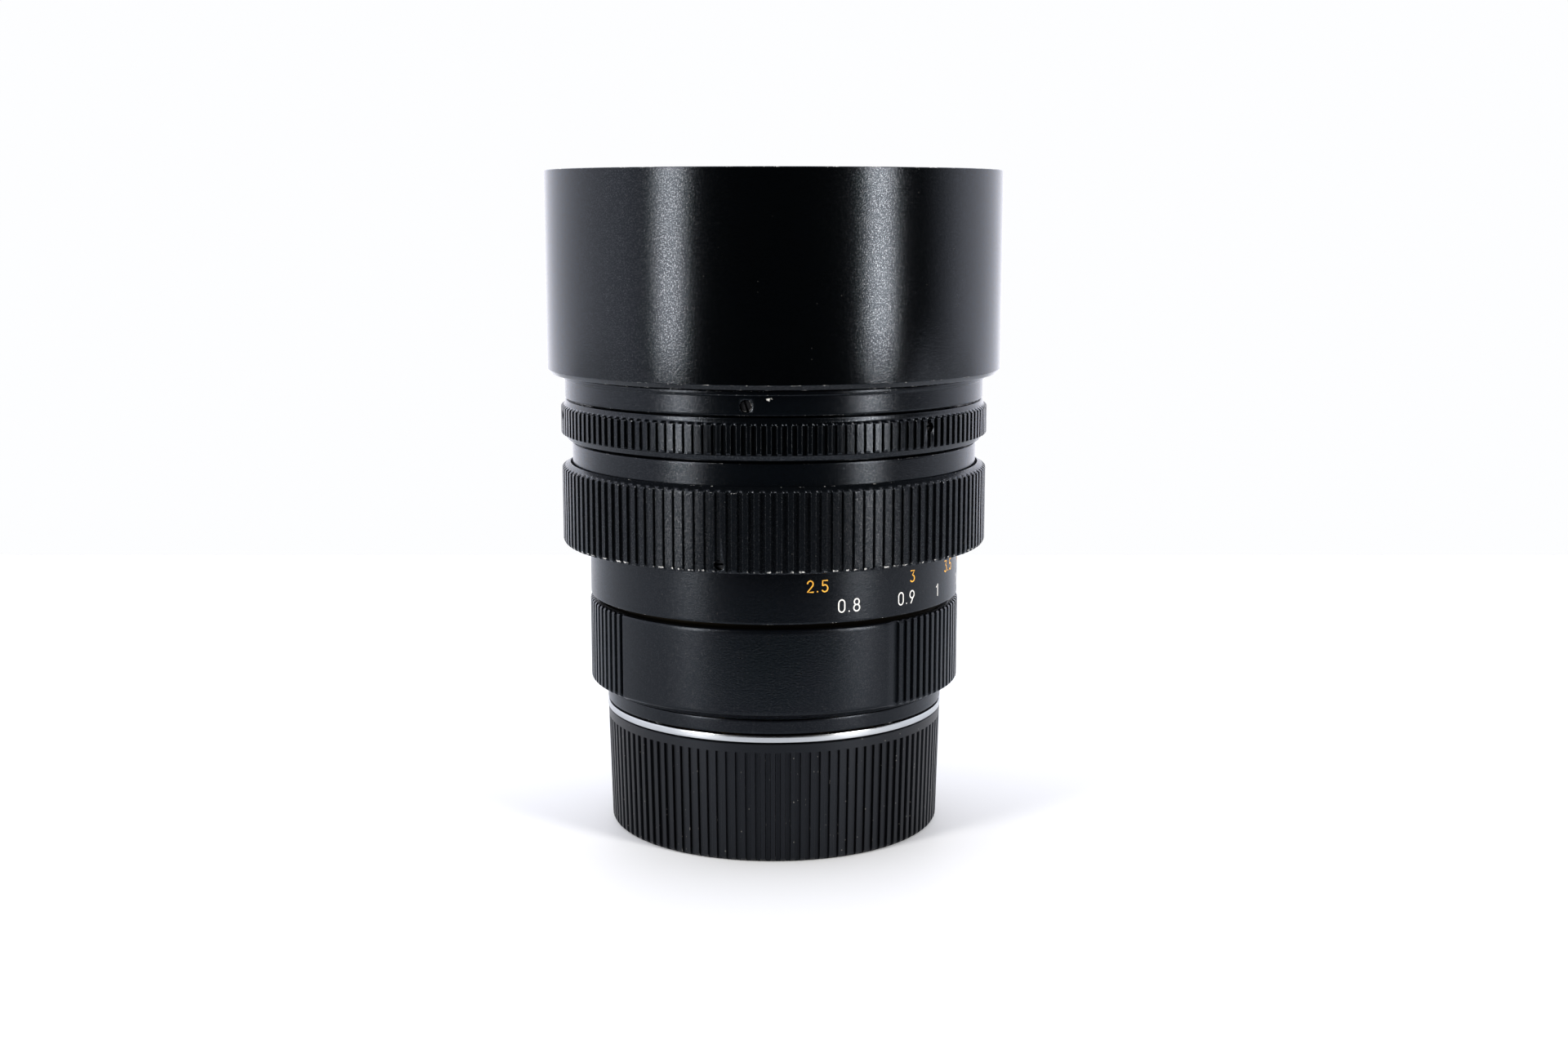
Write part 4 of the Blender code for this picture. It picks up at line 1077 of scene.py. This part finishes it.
BLADES = 10
BLADE_TURN = 36.0
BLADE_R = (17.5, 24.1)
PIVOT_R = 25.9
LEVER = 3.4
LEVER_REST = -108.0
EAR_R = 0.8
PIN_R = 0.25
BASE_PLATE = (59.75, 60.55)
CAM_PLATE = (63.8, 64.6)


def on_circle(radius, start, end, steps, middle=(0.0, 0.0)):
    """Points of an arc in the plane of the iris, as (x, y) in millimetres."""
    return bow(*middle, radius, radius, start, end, steps)


def drive_pin(turn):
    """Where a blade's drive pin is, from the pivot of a blade on the side facing +X."""
    return on_circle(LEVER, LEVER_REST + turn, LEVER_REST + turn, 1)[0]


def plate(name, loop, low, high):
    """A flat plate between two heights, from its outline of (x, y) points."""
    size = len(loop)
    vertices = [Vector((x, y, z)) * MM for z in (low, high) for x, y in loop]
    faces = [list(range(size)), list(range(size, 2 * size))] + grid(2, size)
    return new_object(name, vertices, faces)


def pin(matrix, at, low, high, radius=PIN_R):
    place_at = matrix @ Matrix.Translation(Vector((*at, 0.0)) * MM)
    return rod("pin", place_at, cylinder(radius, high, low), columns=20)


def make_blades():
    """Thin crescents with a pivot and a drive pin each, in a rising stair."""
    inner = on_circle(BLADE_R[0], 0.0, 142.0, 56)
    outer = on_circle(BLADE_R[1], 142.0, 6.0, 56)
    loop = [(x - PIVOT_R, y) for x, y in inner + outer]
    loop += on_circle(EAR_R, 60.0, -30.0, 8)
    loop += on_circle(EAR_R, -20.0, -170.0, 12, drive_pin(0.0)) + [(-EAR_R - 0.4, -1.2)]
    for k in range(BLADES):
        name = f"iris_blade_{k + 1:02d}"
        low = 60.75 + 0.3 * k
        top = low + 0.15
        blade = plate(name + "_curved", loop, low, top)
        still = Matrix.Identity(4)
        pivot = pin(still, (0.0, 0.0), BASE_PLATE[0] + 0.1, top - 0.04)
        drive = pin(still, drive_pin(0.0), low + 0.04, CAM_PLATE[1] - 0.1)
        join_to(blade, [pivot, drive])
        turn = Matrix.Rotation(2 * pi * k / BLADES, 4, "Z")
        blade.data.transform(turn @ Matrix.Translation((PIVOT_R * MM, 0.0, 0.0)))
        # Every other blade takes the lighter copy of the steel, a painted shade difference between
        # the blades.
        look = "iris" if k % 2 else "iris_painted_lighter"
        place(blade, look, f"blade_{k + 1:02d}", "blued_steel", name)


def cam_slot():
    """The path of a drive pin on the turning plate, widened into a slot."""
    steps, half, reach = 36, 0.36, 1.0
    outer, inner = [], []
    for i in range(steps + 1):
        x, y = drive_pin(BLADE_TURN * i / steps)
        radius = math.hypot(x + PIVOT_R, y)
        side = math.degrees(math.atan2(y, x + PIVOT_R)) - STOPS_SPAN * i / steps
        side += {0: reach, steps: -reach}.get(i, 0.0)
        outer += on_circle(radius + half, side, side, 1)[:1]
        inner += on_circle(radius - half, side, side, 1)[:1]
    return outer + inner[::-1]


def make_iris_plates():
    def ring(name, heights):
        return turned(name, band(17.8, 27.9, *reversed(heights)), 120, rounding=0.08)

    base = ring("iris_base_plate_drilled", BASE_PLATE)
    cam = ring("iris_cam_plate_drilled", CAM_PLATE)
    holes, slots = [], []
    for k in range(BLADES):
        turn = Matrix.Rotation(2 * pi * k / BLADES, 4, "Z")
        holes.append(pin(turn, (PIVOT_R, 0.0), 59.0, 61.5, radius=0.45))
        slot = plate("slot", cam_slot(), 63.0, 65.5)
        slot.data.transform(turn)
        slots.append(slot)
    slots.append(box_at(radial_frame(DRIVE_KEY_SIDE, 28.4, 64.2), (2.0, 3.0, 2.0)))
    cut_away(base, holes)
    cut_away(cam, slots)
    place(base, "inside", "head", BLACK, "iris_base_plate")
    place(cam, "brass", "aperture", "brass", "iris_cam_plate")


# ---- cells and glass

# Turned rings of the cells: look, slot and profile
DARK, BARE = ("inside", BLACK), ("aluminium", "bare_aluminium")
CELLS = {
    "front_cell": (
        *DARK,
        [(27.2, 91.2), (28.1, 91.2), (28.1, 68.3), (20.5, 68.3), (20.5, 69.6)]
        + [(22.6, 69.6), (22.6, 82.2), (27.2, 82.2)],
    ),
    "front_doublet_retainer": (
        *DARK,
        [(21.3, 80.2), (22.3, 80.2), (22.3, 78.8), (21.0, 78.8), (21.0, 79.8)],
    ),
    "rear_cell": (
        *BARE,
        [(16.4, 59.2), (20.9, 59.2), (20.9, 30.0), (18.6, 30.0), (18.6, 58.8), (16.4, 58.8)],
    ),
    "rear_spacer_wide": (*BARE, band(17.0, 18.3, 48.3, 42.6)),
    "rear_spacer_narrow": (*BARE, band(17.0, 18.3, 38.8, 35.7)),
    "rear_retaining_ring": (
        *DARK,
        [(15.5, 32.7), (18.3, 32.7), (18.3, 30.5), (16.6, 30.5), (15.5, 31.2)],
    ),
    "rear_baffle": (*DARK, band(16.2, 17.2, 29.7, 13.5)),
}

# Glass, from the front: rim radius, heights of the rim's top and bottom, heights of
# both surfaces on the axis, the radii where they end, and the coating in nanometres
ELEMENTS = {
    "element_1_front": (26.9, 83.4, 82.5, 90.4, 85.2, 26.0, 25.6, 118.0),
    "element_2_front_doublet": (22.3, 77.6, 76.4, 83.5, 76.4, 22.3, 22.3, 105.0),
    "element_3_front_doublet": (22.3, 76.2, 69.9, 76.2, 74.8, 22.3, 17.6, 128.0),
    "element_4_rear_doublet": (18.3, 58.5, 53.0, 54.6, 53.0, 15.5, 18.3, 112.0),
    "element_5_rear_doublet": (18.3, 52.8, 49.5, 52.8, 43.7, 18.3, 18.3, 134.0),
    "element_6": (18.3, 42.2, 39.5, 43.2, 36.9, 18.3, 18.3, 108.0),
    "element_7_rear": (18.3, 35.3, 33.5, 36.2, 31.8, 18.3, 18.3, 124.0),
}


def dome(height, edge_height, edge_radius):
    """Points of a spherical surface from the axis to its edge, as (radius, height)."""
    sag, steps = height - edge_height, 20
    if abs(sag) < 1e-6:
        return [(0.0, height), (edge_radius, edge_height)]
    ball = (edge_radius**2 + sag**2) / (2 * abs(sag))
    radii = [edge_radius * i / steps for i in range(steps + 1)]
    drops = [math.copysign(ball - math.sqrt(ball**2 - r**2), sag) for r in radii]
    return [(r, height - drop) for r, drop in zip(radii, drops)]


def make_cells():
    for name, (look, slot, profile) in CELLS.items():
        piece = turned(name + "_turned", profile, 120, rounding=0.12)
        place(piece, look, "head", slot, name)

    # The front ring has a bevelled face of fine steps and two slots for a spanner.
    low, high, inner, outer, steps = 84.4, 92.2, 25.9, 28.1, 12
    corners = [(outer, high), (outer, 91.5), (26.9, 91.5), (26.9, low), (inner, low)]
    section = soften(corners, closed=False)
    for i in range(steps):
        z = high - 4.0 + 3.9 * i / steps
        section += [(inner + 0.05 * i, z), (inner + 0.05 * (i + 1) + 0.08, z + 0.1)]
    ring = turned("front_ring_stepped", section + [(26.75, high, 0.3)], rounding=0.0)
    cut_away(ring, [box_at(radial_frame(x, 27.6, high), (1.6, 0.7, 2.2)) for x in (30.0, 210.0)])
    place(ring, "ring_face", "head", BLACK, "front_name_ring")


def make_glass():
    for name, sizes in ELEMENTS.items():
        rim, top, bottom, front, rear, front_edge, rear_edge, film = sizes
        profile = dome(front, top, front_edge)
        if front_edge < rim:
            profile.append((rim, top))
        if rear_edge < rim:
            profile.append((rim, bottom))
        profile += reversed(dome(rear, bottom, rear_edge))
        element = turned(name + "_ground", profile, 144, closed=False, rounding=0.0)
        smear = 0.02 if name == "element_1_front" else 0.0
        LOOKS[name] = optical_glass(name + "_coated", film, smear)
        place(element, name, "head", "coated_glass", name)
        element.data.materials.append(LOOKS["glass_edge"])
        for face in element.data.polygons:
            x, y, _ = face.center / MM
            if math.hypot(x, y) > min(front_edge, rear_edge) + 0.01 or abs(face.normal.z) < 0.05:
                face.material_index = 1


# ---- studio


def make_floor():
    """A pale table whose front edge is close, so that the upper rings don't mirror it."""
    half_width, front, back, sunk = 0.6, -0.14, 0.227, 0.00002
    depth = (back - front) / 2
    size = Matrix.Diagonal((half_width, depth, 1.0, 1.0))
    matrix = Matrix.Translation((0.0, front + depth, -sunk)) @ size
    shape = bmesh.new()
    bmesh.ops.create_grid(shape, x_segments=24, y_segments=24, size=1.0, matrix=matrix)
    floor = mesh_object("floor", shape)
    n = Surface("floor_white")
    n.set(Base_Color=n.mix(n.noise(9.0, 2.0), (0.71, 0.735, 0.75), (0.72, 0.745, 0.76)))
    n.set(Roughness=0.6)
    floor.data.materials.append(n.material)


def make_world():
    """White all round to the eye, and a studio that is bright behind and dim in front."""
    world = bpy.data.worlds.new("studio")
    world.use_nodes = True
    bpy.context.scene.world = world
    n = Nodes(world.node_tree)
    n.tree.nodes.clear()
    direction = n.new("TexCoord", {}).outputs["Generated"]
    # The white walls come further forward on the left, so they fade along a slanted axis.
    axis = {0: direction, 1: (-0.25, 1.0, 0.0)}
    along = n.new("VectorMath", axis, operation="DOT_PRODUCT").outputs["Value"]
    walls = n.between(along, -0.5, 0.12, 0.008, 1.95)
    lit = n.new("Background", {"Color": (0.94, 0.93, 1.0, 1.0), "Strength": walls})
    seen = n.new("Background", {"Color": (0.985, 0.99, 1.0, 1.0)})
    camera = n.new("LightPath", {}).outputs["Is Camera Ray"]
    mix = n.new("MixShader", {0: camera, 1: lit.outputs[0], 2: seen.outputs[0]})
    n.new("OutputWorld", {"Surface": mix.outputs[0]})


def make_lights():
    """Two tall soft boxes, whose reflections are the bright bands on the rings."""
    distance, width, low, high = 0.9, 0.2, -0.07, 0.85
    middle = (low + high) / 2
    for name, side, power in (("box_left", -50.5, 11.0), ("box_right", 52.5, 13.0)):
        light = bpy.data.lights.new(name, "AREA")
        light.shape = "RECTANGLE"
        light.size, light.size_y = width, high - low
        light.energy = power
        light.color = (1.0, 0.955, 0.915)
        angle = radians(side)
        x, y = distance * sin(angle), -distance * cos(angle)
        box = linked(name, light)
        box.location = (x, y, middle)
        box.rotation_euler = Vector((-x, -y, 0.0)).to_track_quat("-Z", "Y").to_euler()
        box.visible_camera = False


def make_camera():
    camera = bpy.data.cameras.new("camera")
    camera.lens = 44.66
    camera.sensor_width = 36.0
    obj = linked("camera", camera)
    obj.location = (0.00155, -0.2983, 0.0950)
    look_down = 9.29
    obj.rotation_euler = (radians(90.0 - look_down), 0.0, 0.0)
    bpy.context.scene.camera = obj


make_rear_cap()
make_flange()
make_fixed_barrel()
make_focus()
make_head()
make_front_barrel()
make_hood()
make_aperture()
make_marks()
make_keys()
make_click()
make_blades()
make_iris_plates()
make_cells()
make_glass()
make_floor()
make_world()
make_lights()
make_camera()
bpy.context.scene.view_settings.view_transform = "Standard"
